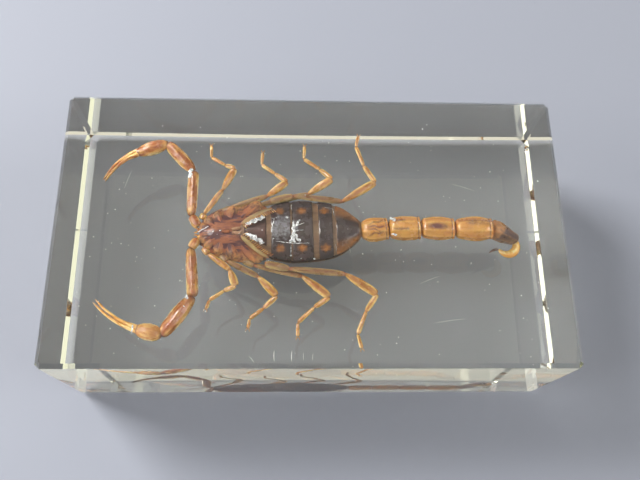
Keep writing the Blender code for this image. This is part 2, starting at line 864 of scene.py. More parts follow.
@dataclass(frozen=True)
class TrappedAirSkin:
    """A thin pocket of air against resin, which shines like crumpled silver: half metal, and half white colour
    that is a painted glint, with painted light and shade over its folds.
    """

    name: str = "trapped_air"
    colour: Colour = (0.95, 0.96, 0.98)

    def build(self) -> bpy.types.Material:
        """Return the material."""
        material, nodes, shader = start_material(self.name)
        skin = nodes.add("ShaderNodeTexCoord").outputs["Object"]
        folds = nodes.noise(skin, 2600.0, 3.0, 0.6)
        shade = nodes.span(folds, 0.35, 0.65)
        dull = tuple(0.6 * part for part in self.colour)
        nodes.join(nodes.blend(shade, dull, self.colour), shader.inputs["Base Color"])
        nodes.join(nodes.span(folds, 0.3, 0.7, 0.15, 0.4), shader.inputs["Roughness"])
        nodes.join(nodes.bump(folds, 0.8, 0.08 * MM), shader.inputs["Normal"])
        # The white diffuse half is a painted glint; only the metal half reflects.
        shader.inputs["Metallic"].default_value = 0.5
        return material


@dataclass(frozen=True)
class DustInResin:
    """Pale dust grains and scratches, which catch the light."""

    name: str = "pale_dust"
    colour: Colour = (0.95, 0.96, 0.97)

    def build(self) -> bpy.types.Material:
        """Return the material."""
        material, nodes, shader = start_material(self.name)
        mottle = nodes.noise(nodes.add("ShaderNodeTexCoord").outputs["Object"], 900.0)
        dull = tuple(0.7 * part for part in self.colour)
        nodes.join(nodes.blend(mottle, dull, self.colour), shader.inputs["Base Color"])
        shader.inputs["Roughness"].default_value = 0.6
        return material


class Finishes:
    """Every material of the object, built once."""

    def __init__(self) -> None:
        """Build the finishes."""
        effects = CuticleEffects()
        self.resin = ClearResin().build()
        self.air = TrappedAirSkin().build()
        self.dust = DustInResin().build()
        # Pale limb edges: thinner cuticle, brightened as a painted highlight.
        pale_edge_highlight = (1.0, 0.84, 0.46)
        self.limb = Cuticle("amber_limb", pale=(0.92, 0.58, 0.17), deep=(0.45, 0.15, 0.02),
                            joint=(0.18, 0.04, 0.01), patch=(0.38, 0.1, 0.015), pale_tone_and_painted_light=pale_edge_highlight,
                            streak_scale=1.9, streak_contrast=1.3, roughness=0.26, coat=0.7).build(effects)
        self.leg = Cuticle("pale_leg", pale=(0.9, 0.66, 0.24), deep=(0.6, 0.3, 0.05),
                           joint=(0.36, 0.11, 0.025), patch=(0.42, 0.15, 0.025), pale_tone_and_painted_light=pale_edge_highlight,
                           granule_cover=0.35, streak_scale=1.9, streak_contrast=1.1,
                           roughness=0.26, coat=0.7).build(effects)
        self.thigh = Cuticle("olive_thigh", pale=(0.58, 0.41, 0.16), deep=(0.3, 0.17, 0.06),
                             joint=(0.34, 0.08, 0.02), patch=(0.25, 0.1, 0.035), pale_tone_and_painted_light=(0.86, 0.68, 0.34),
                             granule_cover=0.3).build(effects)
        self.hand = Cuticle("golden_hand", pale=(0.96, 0.7, 0.27), deep=(0.62, 0.27, 0.04),
                            joint=(0.24, 0.06, 0.015), patch=(0.5, 0.2, 0.04), pale_tone_and_painted_light=pale_edge_highlight,
                            streak_scale=2.2, streak_contrast=1.3).build(effects)
        self.tail = Cuticle("golden_tail", pale=(0.8, 0.42, 0.08), deep=(0.55, 0.2, 0.025),
                            joint=(0.14, 0.035, 0.01), patch=(0.16, 0.03, 0.02), pale_tone_and_painted_light=(0.9, 0.55, 0.15),
                            streak_scale=0.9, streak_contrast=0.5, granule_scale=3.6, relief=0.4,
                            roughness=0.26, coat=0.7).build(effects)
        # The telson's third colour is its painted highlight.
        self.telson = Cuticle("golden_telson", pale=(0.98, 0.6, 0.1), deep=(0.72, 0.32, 0.03),
                              joint=(0.3, 0.1, 0.02), patch=(0.4, 0.15, 0.02), pale_tone_and_painted_light=(1.0, 0.82, 0.36),
                              granule_cover=0.2, roughness=0.22, coat=0.9).build(effects)
        self.tail_end = Cuticle("brown_tail_end", pale=(0.24, 0.1, 0.05), deep=(0.09, 0.03, 0.02),
                                joint=(0.12, 0.03, 0.012), patch=(0.62, 0.27, 0.05), pale_tone_and_painted_light=(0.42, 0.19, 0.06),
                                relief=0.5).build(effects)
        self.chest = Cuticle("red_brown_chest", pale=(0.44, 0.14, 0.042), deep=(0.1, 0.016, 0.022),
                             joint=(0.07, 0.014, 0.012), patch=(0.09, 0.016, 0.02), pale_tone_and_painted_light=(0.64, 0.35, 0.12),
                             streak_scale=1.6, streak_contrast=1.7, blotch_scale=0.9, relief=0.7,
                             roughness=0.42, shine=0.5, coat=0.25).build(effects)
        # The belly's third colour is the painted grey sheen over a thin layer of air.
        self.belly = Cuticle("dark_belly", pale=(0.085, 0.05, 0.047), deep=(0.035, 0.02, 0.022),
                             joint=(0.1, 0.05, 0.025), patch=(0.46, 0.18, 0.035), pale_tone_and_painted_light=(0.24, 0.23, 0.25),
                             streak_scale=0.9, streak_contrast=0.35, granule_cover=0.25,
                             relief=0.25, roughness=0.26, shine=0.55, coat=0.35, glow=0.1).build(effects)
        self.first_plate = Cuticle("red_brown_plate", pale=(0.17, 0.07, 0.05), deep=(0.07, 0.03, 0.025),
                                   joint=(0.06, 0.03, 0.02), patch=(0.1, 0.04, 0.03), pale_tone_and_painted_light=(0.3, 0.2, 0.16),
                                   granule_cover=0.25, relief=0.3, roughness=0.5, shine=0.4,
                                   coat=0.1, glow=0.1).build(effects)
        self.back = Cuticle("dark_back", pale=(0.2, 0.1, 0.05), deep=(0.06, 0.03, 0.02),
                            joint=(0.35, 0.18, 0.06), patch=(0.42, 0.22, 0.08), pale_tone_and_painted_light=(0.4, 0.24, 0.1),
                            granule_cover=0.7, granule_scale=4.0, relief=0.6,
                            roughness=0.42, coat=0.3, glow=0.1).build(effects)
        self.membrane = Cuticle("soft_membrane", pale=(0.3, 0.165, 0.07), deep=(0.17, 0.08, 0.035),
                                joint=(0.2, 0.08, 0.03), patch=(0.12, 0.06, 0.03), pale_tone_and_painted_light=(0.62, 0.48, 0.28),
                                granule_cover=0.1, roughness=0.4, coat=0.3,
                                glow=0.3).build(effects)
        self.pale_plate = Cuticle("pale_plate", pale=(0.6, 0.36, 0.2), deep=(0.4, 0.2, 0.1),
                                  joint=(0.3, 0.12, 0.05), patch=(0.5, 0.3, 0.15), pale_tone_and_painted_light=pale_edge_highlight,
                                  granule_cover=0.1).build(effects)
        self.sting = Cuticle("dark_sting", pale=(0.09, 0.025, 0.012), deep=(0.03, 0.01, 0.006),
                             joint=(0.02, 0.008, 0.005), patch=(0.3, 0.1, 0.03), pale_tone_and_painted_light=(0.3, 0.1, 0.03),
                             granule_cover=0.0, roughness=0.2, glow=0.0).build(effects)


# ---------------------------------------------------------------- the casting


@dataclass
class ResinBlock:
    """The polished casting, the size of its CAD solid, with ground edges."""

    resin: bpy.types.Material
    corner_cut: float = 0.6 * MM
    top_cut: float = 0.6 * MM
    base_cut: float = 0.9 * MM

    def build(self) -> bpy.types.Object:
        """Model the block from a cube and cut its edges back."""
        low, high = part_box("resin_block")
        deselect()
        bpy.ops.mesh.primitive_cube_add(size=1.0, location=(low + high) / 2)
        block = bpy.context.object
        block.name = "polished_resin_block"
        block.scale = high - low
        bpy.ops.object.transform_apply(location=True, rotation=True, scale=True)
        bpy.ops.object.mode_set(mode="EDIT")
        select_edges(block, lambda a, b: (a - b).xy.length < TINY)
        bpy.ops.mesh.bevel(offset=self.corner_cut, segments=1, affect="EDGES")
        select_edges(block, lambda a, b: min(a.z, b.z) > high.z - TINY)
        bpy.ops.mesh.bevel(offset=self.top_cut, segments=1, affect="EDGES")
        select_edges(block, lambda a, b: max(a.z, b.z) < low.z + TINY)
        bpy.ops.mesh.bevel(offset=self.base_cut, segments=1, affect="EDGES")
        deselect()
        dress(block, self.resin)
        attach(block, "root")
        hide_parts("resin_block")
        LOG.info("%s: %d faces", block.name, len(block.data.polygons))
        return block


# ---------------------------------------------------------------- the animal's trunk


@dataclass(frozen=True)
class Trunk:
    """Where the animal's body lies in the block, in millimetres."""

    at: Point = (-10.8, 0.64, 13.0)
    turn: float = 1.9
    rear: float = 18.0
    half_depth: float = 1.75
    stations: tuple[float, ...] = (0.0, 2.0, 4.0, 5.0, 8.0, 12.0, 14.0, 15.5, 17.0, 18.0)
    half_widths: tuple[float, ...] = (2.1, 2.85, 3.8, 4.4, 5.0, 4.75, 4.35, 3.65, 2.5, 1.5)

    def settle(self, piece: bpy.types.Object) -> bpy.types.Object:
        """Move a piece from the animal's frame to the block's."""
        return place(piece, self.at, heading=self.turn)

    def outline(self, along: float) -> float:
        """Return the belly's half width at a place along the body.

        Args:
            along: Millimetres behind the front body.

        Returns:
            The half width in millimetres.
        """
        return float(np.interp(along, self.stations, self.half_widths))

    def surface(self, along: float, across: float) -> float:
        """Return how high the belly plates stand above a place in the block.

        Args:
            along: The place from end to end of the block.
            across: The place from side to side.

        Returns:
            The height above the block's base.
        """
        turn = math.radians(self.turn)
        right, up = along - self.at[0], across - self.at[1]
        body_along = right * math.cos(turn) + up * math.sin(turn)
        body_across = up * math.cos(turn) - right * math.sin(turn)
        share = min(0.97, abs(body_across) / (self.outline(body_along) * 1.03))
        return self.at[2] + self.depth(body_along) * 1.06 * math.sqrt(1.0 - share * share)

    def depth(self, along: float) -> float:
        """Return the belly's half depth at a place along the body."""
        share = along / self.rear
        return self.half_depth * (1.0 - 0.35 * max(0.0, share - 0.6) / 0.4) * min(1.0, 0.85 + share)


def shell_plate(name: str, rings: Sequence[Ring], spread: float, thick: float,
                rounds: int = 2) -> bpy.types.Object:
    """Make a curved body plate: an arc drawn along the body and given its thickness.

    Args:
        name: The plate's name.
        rings: The body's cross-sections under the plate.
        spread: Degrees that the plate reaches down each flank.
        thick: How thick it is.
        rounds: How many times it is smoothed.

    Returns:
        The plate, curved over +Z.
    """
    corners = 40
    first = rings[0]
    deselect()
    bpy.ops.mesh.primitive_circle_add(vertices=corners, radius=1.0, fill_type="NOTHING",
                                      location=first.centre, rotation=(0.0, math.pi / 2, 0.0))
    plate = bpy.context.object
    plate.name = name
    bpy.ops.object.transform_apply(location=True, rotation=True, scale=True)
    bpy.ops.object.mode_set(mode="EDIT")
    lowest = math.cos(math.radians(spread))
    select_verts(plate, lambda place: place.z - first.lift < lowest - TINY)
    bpy.ops.mesh.delete(type="VERT")
    bpy.ops.mesh.select_all(action="SELECT")
    bpy.ops.transform.resize(value=(1.0, first.wide, first.deep), center_override=first.centre)
    for last, ring in zip(rings, rings[1:]):
        step_to = (ring.along - last.along, ring.side - last.side, ring.lift - last.lift)
        bpy.ops.mesh.extrude_region_move(TRANSFORM_OT_translate={"value": step_to})
        bpy.ops.transform.resize(value=(1.0, ring.wide / last.wide, ring.deep / last.deep),
                                 center_override=ring.centre)
    deselect()
    pick_out(plate)
    bpy.ops.object.mode_set(mode="EDIT")
    bpy.ops.mesh.select_all(action="SELECT")
    bpy.ops.mesh.normals_make_consistent(inside=False)
    bpy.ops.object.mode_set(mode="OBJECT")
    middle = plate.data.polygons[len(plate.data.polygons) // 2]
    apply_modifier(plate, "SOLIDIFY", thickness=thick, offset=-1.0 if middle.normal.z > 0 else 1.0)
    face_outwards(plate)
    smooth(plate, rounds)
    return plate


@dataclass(frozen=True)
class BellyPlate:
    """One plate under the belly: where it starts and ends, and what marks it."""

    start: float
    end: float
    breathing_spots: bool
    pale_flanks: bool = False
    taper: float = 0.0
    # Middle along and across, and half sizes, of a painted grey sheen where a thin layer of air lies on the
    # plate.
    film: tuple[float, float, float, float] | None = None


@dataclass
class Abdomen:
    """The belly and back plates over the soft body wall."""

    finishes: Finishes
    trunk: Trunk
    belly: tuple[BellyPlate, ...] = (
        BellyPlate(0.6, 4.05, False, taper=1.75),
        BellyPlate(4.65, 7.65, True, film=(6.3, 0.4, 1.5, 1.9)),
        BellyPlate(7.85, 11.0, True, film=(8.0, 0.5, 0.9, 1.2)),
        BellyPlate(11.75, 13.95, True),
        BellyPlate(14.4, 17.9, False, pale_flanks=True),
    )
    back_count: int = 7
    spot_offset: float = 2.95
    spot_half: tuple[float, float] = (0.7, 0.6)
    plate_thick: float = 0.16
    wall_stations: tuple[float, ...] = (
        -0.6, 0.6, 2.4, 4.3, 6.0, 7.7, 9.5, 11.4, 13.0, 14.2, 15.6, 16.9, 17.9, 18.3)
    wall_pinches: tuple[float, ...] = (7.7, 11.4, 14.2)

    def build(self) -> None:
        """Model the wall, then the plates over it."""
        self._build_wall()
        for number, plate in enumerate(self.belly, start=1):
            self._build_belly_plate(number, plate)
        self._build_back_plates()

    def _build_wall(self) -> None:
        """Model the soft wall, which shows as pale bands between the plates."""
        trunk = self.trunk
        rings = []
        for along in self.wall_stations:
            pinch = 0.94 if along in self.wall_pinches else 0.97
            rings.append(Ring(along, trunk.outline(max(along, 0.0)) * pinch,
                              trunk.depth(max(along, 0.0)) * pinch))
        wall = loft("body_wall_membrane", rings, sides=20, rounds=2)
        roughen(wall, 0.12, 0.7, seed=3.0)
        mark_skin(wall)
        dress(wall, self.finishes.membrane)
        finish_piece(trunk.settle(wall))

    def _build_belly_plate(self, number: int, plate: BellyPlate) -> None:
        """Model one belly plate with a raised rear lip.

        Args:
            number: Its place behind the front body.
            plate: Its sizes.
        """
        trunk = self.trunk
        length = plate.end - plate.start
        tapered = plate.taper > 0.0
        shares = ((0.0, 0.97, 0.93), (0.06, 0.99, 0.98), (0.3, 1.0, 1.02), (0.6, 1.0, 1.035),
                  (0.86, 1.0, 1.05), (0.95, 1.0, 1.075), (1.0, 0.99, 1.05))
        rings = []
        for share, wide, deep in shares:
            along = plate.start + length * share
            rings.append(Ring(along, trunk.outline(along) * wide * 1.03, trunk.depth(along) * deep))
        name = f"belly_plate_{number}"
        piece = shell_plate(name, rings, 76.0, self.plate_thick, rounds=1 if tapered else 2)
        if tapered:
            self._cut_to_trapezium(piece, plate)
        roughen(piece, 0.05, 0.9, seed=float(number))
        mark_skin(piece)
        mark(piece, "patch", lambda spots: self._patch_mask(spots, plate))
        mark(piece, "joint", lambda rows: fade(
            np.minimum(rows[:, 0] - plate.start, plate.end - rows[:, 0]), 0.2))
        # Painted sheen: a grey patch where a thin layer of air lies on the plate.
        if plate.film is not None:
            mark(piece, "pale_tone_and_painted_light", lambda rows: self._painted_sheen_mask(rows, plate.film))
        dress(piece, self.finishes.first_plate if tapered else self.finishes.belly)
        finish_piece(trunk.settle(piece))

    @staticmethod
    def _cut_to_trapezium(piece: bpy.types.Object, plate: BellyPlate) -> None:
        """Cut the first plate's flanks away, so that it is narrow in front.

        Args:
            piece: The plate, at full width.
            plate: Its sizes.
        """
        slope = plate.taper / (plate.end - plate.start)
        pick_out(piece)
        bpy.ops.object.mode_set(mode="EDIT")
        for side in (1.0, -1.0):
            bpy.ops.mesh.select_all(action="SELECT")
            bpy.ops.mesh.bisect(plane_co=(plate.start, side * 0.75, 0.0), plane_no=(-slope, side, 0.0),
                                use_fill=True, clear_outer=True)
        bpy.ops.object.mode_set(mode="OBJECT")
        apply_modifier(piece, "BEVEL", width=0.05, segments=2, limit_method="ANGLE")
        bpy.ops.object.shade_smooth_by_angle(angle=math.radians(50.0))

    def _patch_mask(self, rows: np.ndarray, plate: BellyPlate) -> np.ndarray:
        """Return where a belly plate is tan: over its breathing openings or along its flanks.

        Args:
            rows: Places on the plate.
            plate: The plate's sizes.

        Returns:
            The mask, from 0 to 1.
        """
        mask = np.zeros(len(rows))
        half_along, half_across = self.spot_half
        if plate.breathing_spots:
            middle = (plate.start + plate.end) / 2 - 0.1
            wobble = 0.12 * np.sin(rows[:, 0] * 9.0) + 0.1 * np.sin(rows[:, 1] * 13.0)
            reach = np.hypot((rows[:, 0] - middle) / half_along,
                             (np.abs(rows[:, 1]) - self.spot_offset) / half_across)
            mask = np.clip((1.15 - reach + wobble) / 0.6, 0.0, 1.0) * np.where(rows[:, 1] < 0, 1.0, 0.7)
        if plate.pale_flanks:
            across = np.abs(rows[:, 1]) / np.array([self.trunk.outline(x) for x in rows[:, 0]])
            mask = np.clip((across - 0.4) / 0.35, 0.0, 1.0) * 0.75
        return mask

    @staticmethod
    def _painted_sheen_mask(rows: np.ndarray, film: tuple[float, float, float, float]) -> np.ndarray:
        """Return where a painted grey sheen lies on a belly plate, over a thin layer of air, with a ragged
        edge.

        Args:
            rows: Places on the plate.
            film: The middle along and across of the painted sheen, and its half sizes.

        Returns:
            The mask, from 0 to 1.
        """
        along, across, half_along, half_across = film
        wobble = 0.16 * np.sin(rows[:, 0] * 5.0 + rows[:, 1] * 3.0) + 0.12 * np.sin(rows[:, 1] * 9.0)
        reach = np.hypot((rows[:, 0] - along) / half_along, (rows[:, 1] - across) / half_across) + wobble
        return np.clip((1.1 - reach) / 0.25, 0.0, 1.0)

    def _build_back_plates(self) -> None:
        """Model the back plates, wider and granular, one overlapping the next."""
        trunk = self.trunk
        pitch = (trunk.rear - 0.2) / self.back_count
        for number in range(1, self.back_count + 1):
            start = -0.1 + pitch * (number - 1)
            length = pitch * 1.06
            rings = []
            for share, deep in ((0.0, 0.98), (0.08, 1.02), (0.5, 1.07), (0.9, 1.12), (1.0, 1.09)):
                along = start + length * share
                rings.append(Ring(along, trunk.outline(along) * 1.03 + 0.1,
                                  trunk.depth(along) * deep))
            plate = shell_plate(f"back_plate_{number}", rings, 74.0, self.plate_thick)
            self._raise_back_keels(plate, start, length)
            roughen(plate, 0.09, 0.35, seed=10.0 + number)
            mark_skin(plate)
            mark(plate, "joint", lambda rows, end=start + length: fade(end - rows[:, 0], 0.3))
            mark(plate, "patch", lambda rows: fade(np.abs(rows[:, 1]), 0.35) * 0.6)
            dress(plate, self.finishes.back)
            place(plate, (0.0, 0.0, 0.0), roll=180.0)
            finish_piece(trunk.settle(plate))

    @staticmethod
    def _raise_back_keels(plate: bpy.types.Object, start: float, length: float) -> None:
        """Raise the middle keel and two side keels of a back plate.

        Args:
            plate: The plate, still curved over +Z.
            start: Where it begins along the body.
            length: How long it is.
        """
        rows = places(plate)
        share = np.clip((rows[:, 0] - start) / length, 0.0, 1.0)
        ridge = np.zeros(len(rows))
        for offset, height in ((0.0, 0.22), (1.7, 0.14), (-1.7, 0.14)):
            ridge += height * np.exp(-(((rows[:, 1] - offset) / 0.18) ** 2))
        rows[:, 2] += ridge * share
        put_back(plate, rows)


@dataclass
class FrontBody:
    """The carapace, the hips that meet under it, and the plates between them."""

    finishes: Finishes
    trunk: Trunk
    hip_depth: float = 1.35
    hips: tuple[tuple[str, Point, float, float, float], ...] = (
        ("arm", (-3.1, 0.35, 0.55), 164.0, 2.9, 1.9),
        ("leg_1", (-2.8, 0.35, 0.6), 139.0, 3.0, 1.9),
        ("leg_2", (-2.3, 0.45, 0.6), 108.0, 3.1, 2.2),
        ("leg_3", (-1.8, 0.5, 0.6), 72.0, 3.9, 2.6),
        ("leg_4", (-1.3, 0.6, 0.6), 42.0, 6.2, 2.5),
    )
    eye_mound: tuple[float, float, float, float] = (-3.9, 0.0, 0.3, 0.55)
    side_mounds: tuple[tuple[float, float, float, float], ...] = (
        (-5.1, 1.2, 0.12, 0.4), (-1.6, 1.1, 0.16, 0.7))
    eyes: tuple[tuple[float, float, float, float], ...] = (
        (-3.95, 0.28, 2.1, 0.2), (-5.65, 1.3, 1.2, 0.11), (-5.35, 1.55, 1.12, 0.11), (-5.05, 1.75, 1.05, 0.09))

    def build(self) -> None:
        """Model the carapace, the core, the hips and the plates between them."""
        self._build_core()
        self._build_carapace()
        for side in Side:
            for name, start, heading, length, wide in self.hips:
                self._build_hip(side, name, start, heading, length, wide)
        self._build_breast_plates()

    def _build_core(self) -> None:
        """Model the flesh that the hips and the carapace close over."""
        rings = [Ring(-5.9, 1.2, 0.8), Ring(-5.5, 2.2, 1.0), Ring(-4.2, 3.4, 1.25), Ring(-2.0, 4.35, 1.35),
                 Ring(0.0, 4.75, 1.4), Ring(2.0, 4.85, 1.35), Ring(3.6, 4.6, 1.15), Ring(4.6, 3.9, 0.9)]
        core = loft("front_body_core", rings, sides=18)
        roughen(core, 0.16, 0.6)
        mark_skin(core)
        mark(core, "pale_tone_and_painted_light", lambda spots: np.clip((np.abs(spots[:, 1]) - 3.0) / 1.2, 0.0, 1.0) * 0.7)
        dress(core, self.finishes.chest)
        finish_piece(self.trunk.settle(core))

    def _build_carapace(self) -> None:
        """Model the head shield with its eye mound, on the side away from the belly."""
        rings = [Ring(-6.0, 1.6, 1.2), Ring(-5.8, 1.85, 1.45), Ring(-4.8, 2.35, 1.75), Ring(-3.0, 2.95, 1.9),
                 Ring(-1.0, 3.4, 1.95), Ring(-0.2, 3.55, 1.9), Ring(0.05, 3.5, 1.8)]
        shield = shell_plate("carapace", rings, 80.0, 0.18)
        rows = places(shield)
        for along, across, height, reach in (self.eye_mound, *self._both_sides(self.side_mounds)):
            gap = np.hypot(rows[:, 0] - along, rows[:, 1] - across)
            rows[:, 2] += height * np.exp(-((gap / reach) ** 2)) * (rows[:, 2] > 0)
        put_back(shield, rows)
        roughen(shield, 0.12, 0.35, seed=2.0)
        mark_skin(shield)
        mark(shield, "joint", lambda spots: fade(0.05 - spots[:, 0], 0.35))
        dress(shield, self.finishes.back)
        eyes = [shield]
        for along, across, up, radius in self._both_sides(self.eyes):
            deselect()
            bpy.ops.mesh.primitive_uv_sphere_add(segments=16, ring_count=10, radius=radius,
                                                 location=(along, across, up))
            eye = bpy.context.object
            bpy.ops.object.transform_apply(location=True, rotation=True, scale=True)
            bpy.ops.object.shade_smooth()
            eyes.append(dress(eye, self.finishes.sting))
        shield = join("carapace", eyes)
        place(shield, (0.0, 0.0, 0.0), roll=180.0)
        finish_piece(self.trunk.settle(shield))

    @staticmethod
    def _both_sides(rows: Iterable[tuple[float, float, float, float]]
                    ) -> list[tuple[float, float, float, float]]:
        """Return each row with its mirror image across the middle line behind it."""
        return [(along, across * side.value, *rest) for along, across, *rest in rows for side in Side]

    def _build_hip(self, side: Side, name: str, start: Point, heading: float, length: float,
                   wide: float) -> None:
        """Model one hip, narrow at the breast plate and broad at the limb.

        Args:
            side: The animal's side.
            name: The limb that it carries.
            start: Its inner end on the left side.
            heading: Its direction on the left side.
            length: From the breast plate to the limb.
            wide: Its greatest width.
        """
        swells = profile((0.0, 0.2, 0.6), (0.05, 0.3, 0.8), (0.3, 0.62, 1.0), (0.62, 0.95, 1.0),
                         (0.8, 0.92, 0.85), (0.92, 0.66, 0.6), (1.0, 0.3, 0.3))
        hip = limb(f"hip_{side.word}_{name}", length, wide, self.hip_depth, swells,
                   section=Section.KEELED)
        roughen(hip, 0.12, 0.4, seed=heading)
        mark(hip, "patch", lambda spots: self._hip_edge_mask(spots, length, wide))
        mark(hip, "pale_tone_and_painted_light", lambda spots: np.clip(spots[:, 0] / length - 0.55, 0.0, 0.35) * 2.0)
        dress(hip, self.finishes.chest)
        along, across, up = start
        place(hip, (along, across * side.value, up), heading=heading * side.value)
        finish_piece(self.trunk.settle(hip))

    @staticmethod
    def _hip_edge_mask(rows: np.ndarray, length: float, wide: float) -> np.ndarray:
        """Return the dark seam where a hip meets its neighbour.

        Args:
            rows: Places on the hip, along +X.
            length: The hip's length.
            wide: Its greatest width.

        Returns:
            The mask, from 0 to 1.
        """
        half = wide / 2 * np.interp(rows[:, 0] / length, (0.0, 0.3, 0.65, 1.0), (0.2, 0.62, 0.97, 0.9))
        return np.clip((np.abs(rows[:, 1]) / half - 0.7) / 0.2, 0.0, 1.0)

    def _build_breast_plates(self) -> None:
        """Model the breast plate and the paired genital plates behind it."""
        breast = limb("breast_plate", 1.3, 1.0, 0.7,
                      profile((0.0, 0.35, 0.6), (0.15, 0.7, 0.9), (0.6, 1.0, 1.0), (1.0, 0.9, 0.7)),
                      section=Section.KEELED)
        dress(breast, self.finishes.chest)
        place(breast, (-2.6, 0.0, 1.25))
        finish_piece(self.trunk.settle(breast))
        flaps = []
        for side in Side:
            flap = limb(f"genital_flap_{side.word}", 1.4, 0.62, 0.45,
                        profile((0.0, 0.5, 0.6), (0.12, 0.8, 0.9), (0.5, 1.0, 1.0), (0.88, 0.8, 0.9),
                                (1.0, 0.45, 0.6)))
            place(flap, (-1.1, 0.27 * side.value, 1.5), heading=5.0 * side.value)
            flaps.append(dress(flap, self.finishes.pale_plate))
        finish_piece(self.trunk.settle(join("genital_plates", flaps)))


@dataclass
class Mouthparts:
    """The pair of small pincers in front of the carapace."""

    finishes: Finishes
    trunk: Trunk
    palm: tuple[float, float, float] = (1.4, 0.85, 0.85)
    finger: float = 0.6

    def build(self) -> None:
        """Model both mouth pincers."""
        length, wide, deep = self.palm
        for side in Side:
            palm = limb("palm", length, wide, deep,
                        profile((0.0, 0.6, 0.6), (0.12, 0.9, 0.9), (0.55, 1.0, 1.0), (0.9, 0.8, 0.8),
                                (1.0, 0.4, 0.5)))
            fingers = []
            for spread in (16.0, -14.0):
                finger = limb("finger", self.finger, 0.34, 0.34,
                              profile((0.0, 0.9, 0.9), (0.4, 1.0, 1.0), (0.8, 0.6, 0.6),
                                      (1.0, 0.15, 0.15)),
                              sides=8, bow=0.1 if spread > 0 else -0.1)
                place(finger, (length * 0.88, 0.2 if spread > 0 else -0.2, 0.0), heading=spread)
                fingers.append(dress(finger, self.finishes.tail))
            dress(palm, self.finishes.limb)
            pincer = join(f"mouth_pincer_{side.word}", [palm, *fingers])
            place(pincer, (-4.9, 0.45 * side.value, 0.2), heading=180.0 - 4.0 * side.value)
            finish_piece(self.trunk.settle(pincer))


@dataclass
class Combs:
    """The pair of comb-like sense organs behind the hips."""

    finishes: Finishes
    trunk: Trunk
    length: float = 5.4
    wide: float = 0.75
    teeth: int = 18
    tooth: float = 0.95
    sweeps: dict[Side, tuple[float, float]] = field(
        default_factory=lambda: {Side.LEFT: (29.0, 4.0), Side.RIGHT: (-41.0, 6.0)})

    def build(self) -> None:
        """Model one tooth, copy it along each shaft and join them."""
        for side, (heading, rise) in self.sweeps.items():
            shaft = limb("shaft", self.length, self.wide, 0.35,
                         profile((0.0, 0.6, 0.7), (0.1, 1.0, 1.0), (0.6, 0.85, 0.9), (0.95, 0.55, 0.6),
                                 (1.0, 0.3, 0.3)), bow=0.35 * side.value)
            pieces = [dress(shaft, self.finishes.thigh)]
            for number in range(self.teeth):
                share = (number + 0.7) / self.teeth
                tooth = limb("tooth", self.tooth * (1.0 - 0.25 * share), 0.19, 0.2,
                             profile((0.0, 0.6, 0.7), (0.5, 0.9, 0.9), (0.85, 1.0, 1.0), (1.0, 0.5, 0.5)),
                             sides=6, rounds=1)
                bow = 0.35 * side.value * math.sin(math.pi * share)
                place(tooth, (self.length * share, bow - 0.22 * side.value, 0.1), heading=-74.0 * side.value,
                      rise=2.0)
                pieces.append(dress(tooth, self.finishes.limb))
            comb = join(f"comb_{side.word}", pieces)
            place(comb, (0.3, 0.85 * side.value, 2.05), heading=heading, rise=-rise)
            finish_piece(self.trunk.settle(comb))


# ---------------------------------------------------------------- limbs


class Run(NamedTuple):
    """One limb segment's length in millimetres, its heading and its rise in degrees."""

    length: float
    heading: float
    rise: float = 0.0

    def end(self, start: Point) -> Point:
        """Return where the segment ends.

        Args:
            start: Where it begins.

        Returns:
            Its far end.
        """
        level = self.length * math.cos(math.radians(self.rise))
        return (start[0] + level * math.cos(math.radians(self.heading)),
                start[1] + level * math.sin(math.radians(self.heading)),
                start[2] + self.length * math.sin(math.radians(self.rise)))


TROCHANTER = profile((0.0, 0.6, 0.7), (0.12, 0.9, 0.9), (0.5, 1.0, 1.0), (0.88, 0.9, 0.9),
                     (1.0, 0.5, 0.5))
THIGH = profile((-0.02, 0.4, 0.45), (0.05, 0.7, 0.75), (0.3, 0.92, 0.95), (0.7, 1.0, 1.0),
                (0.93, 0.85, 0.9), (1.02, 0.45, 0.5))
KNEE = profile((-0.02, 0.3, 0.4), (0.04, 0.42, 0.5), (0.2, 0.72, 0.78), (0.5, 1.0, 1.0), (0.78, 1.0, 1.0),
               (0.93, 0.86, 0.88), (1.0, 0.6, 0.6))
SHANK = profile((-0.02, 0.5, 0.5), (0.1, 0.95, 0.95), (0.5, 1.0, 1.0), (0.9, 0.85, 0.85),
                (1.02, 0.45, 0.45))
FOOT = profile((-0.02, 0.5, 0.5), (0.1, 0.8, 0.8), (0.5, 0.85, 0.85), (0.88, 1.0, 1.0), (1.0, 0.6, 0.6))
CLAW = profile((0.0, 1.0, 1.0), (0.4, 0.8, 0.8), (0.8, 0.45, 0.45), (1.0, 0.12, 0.12))


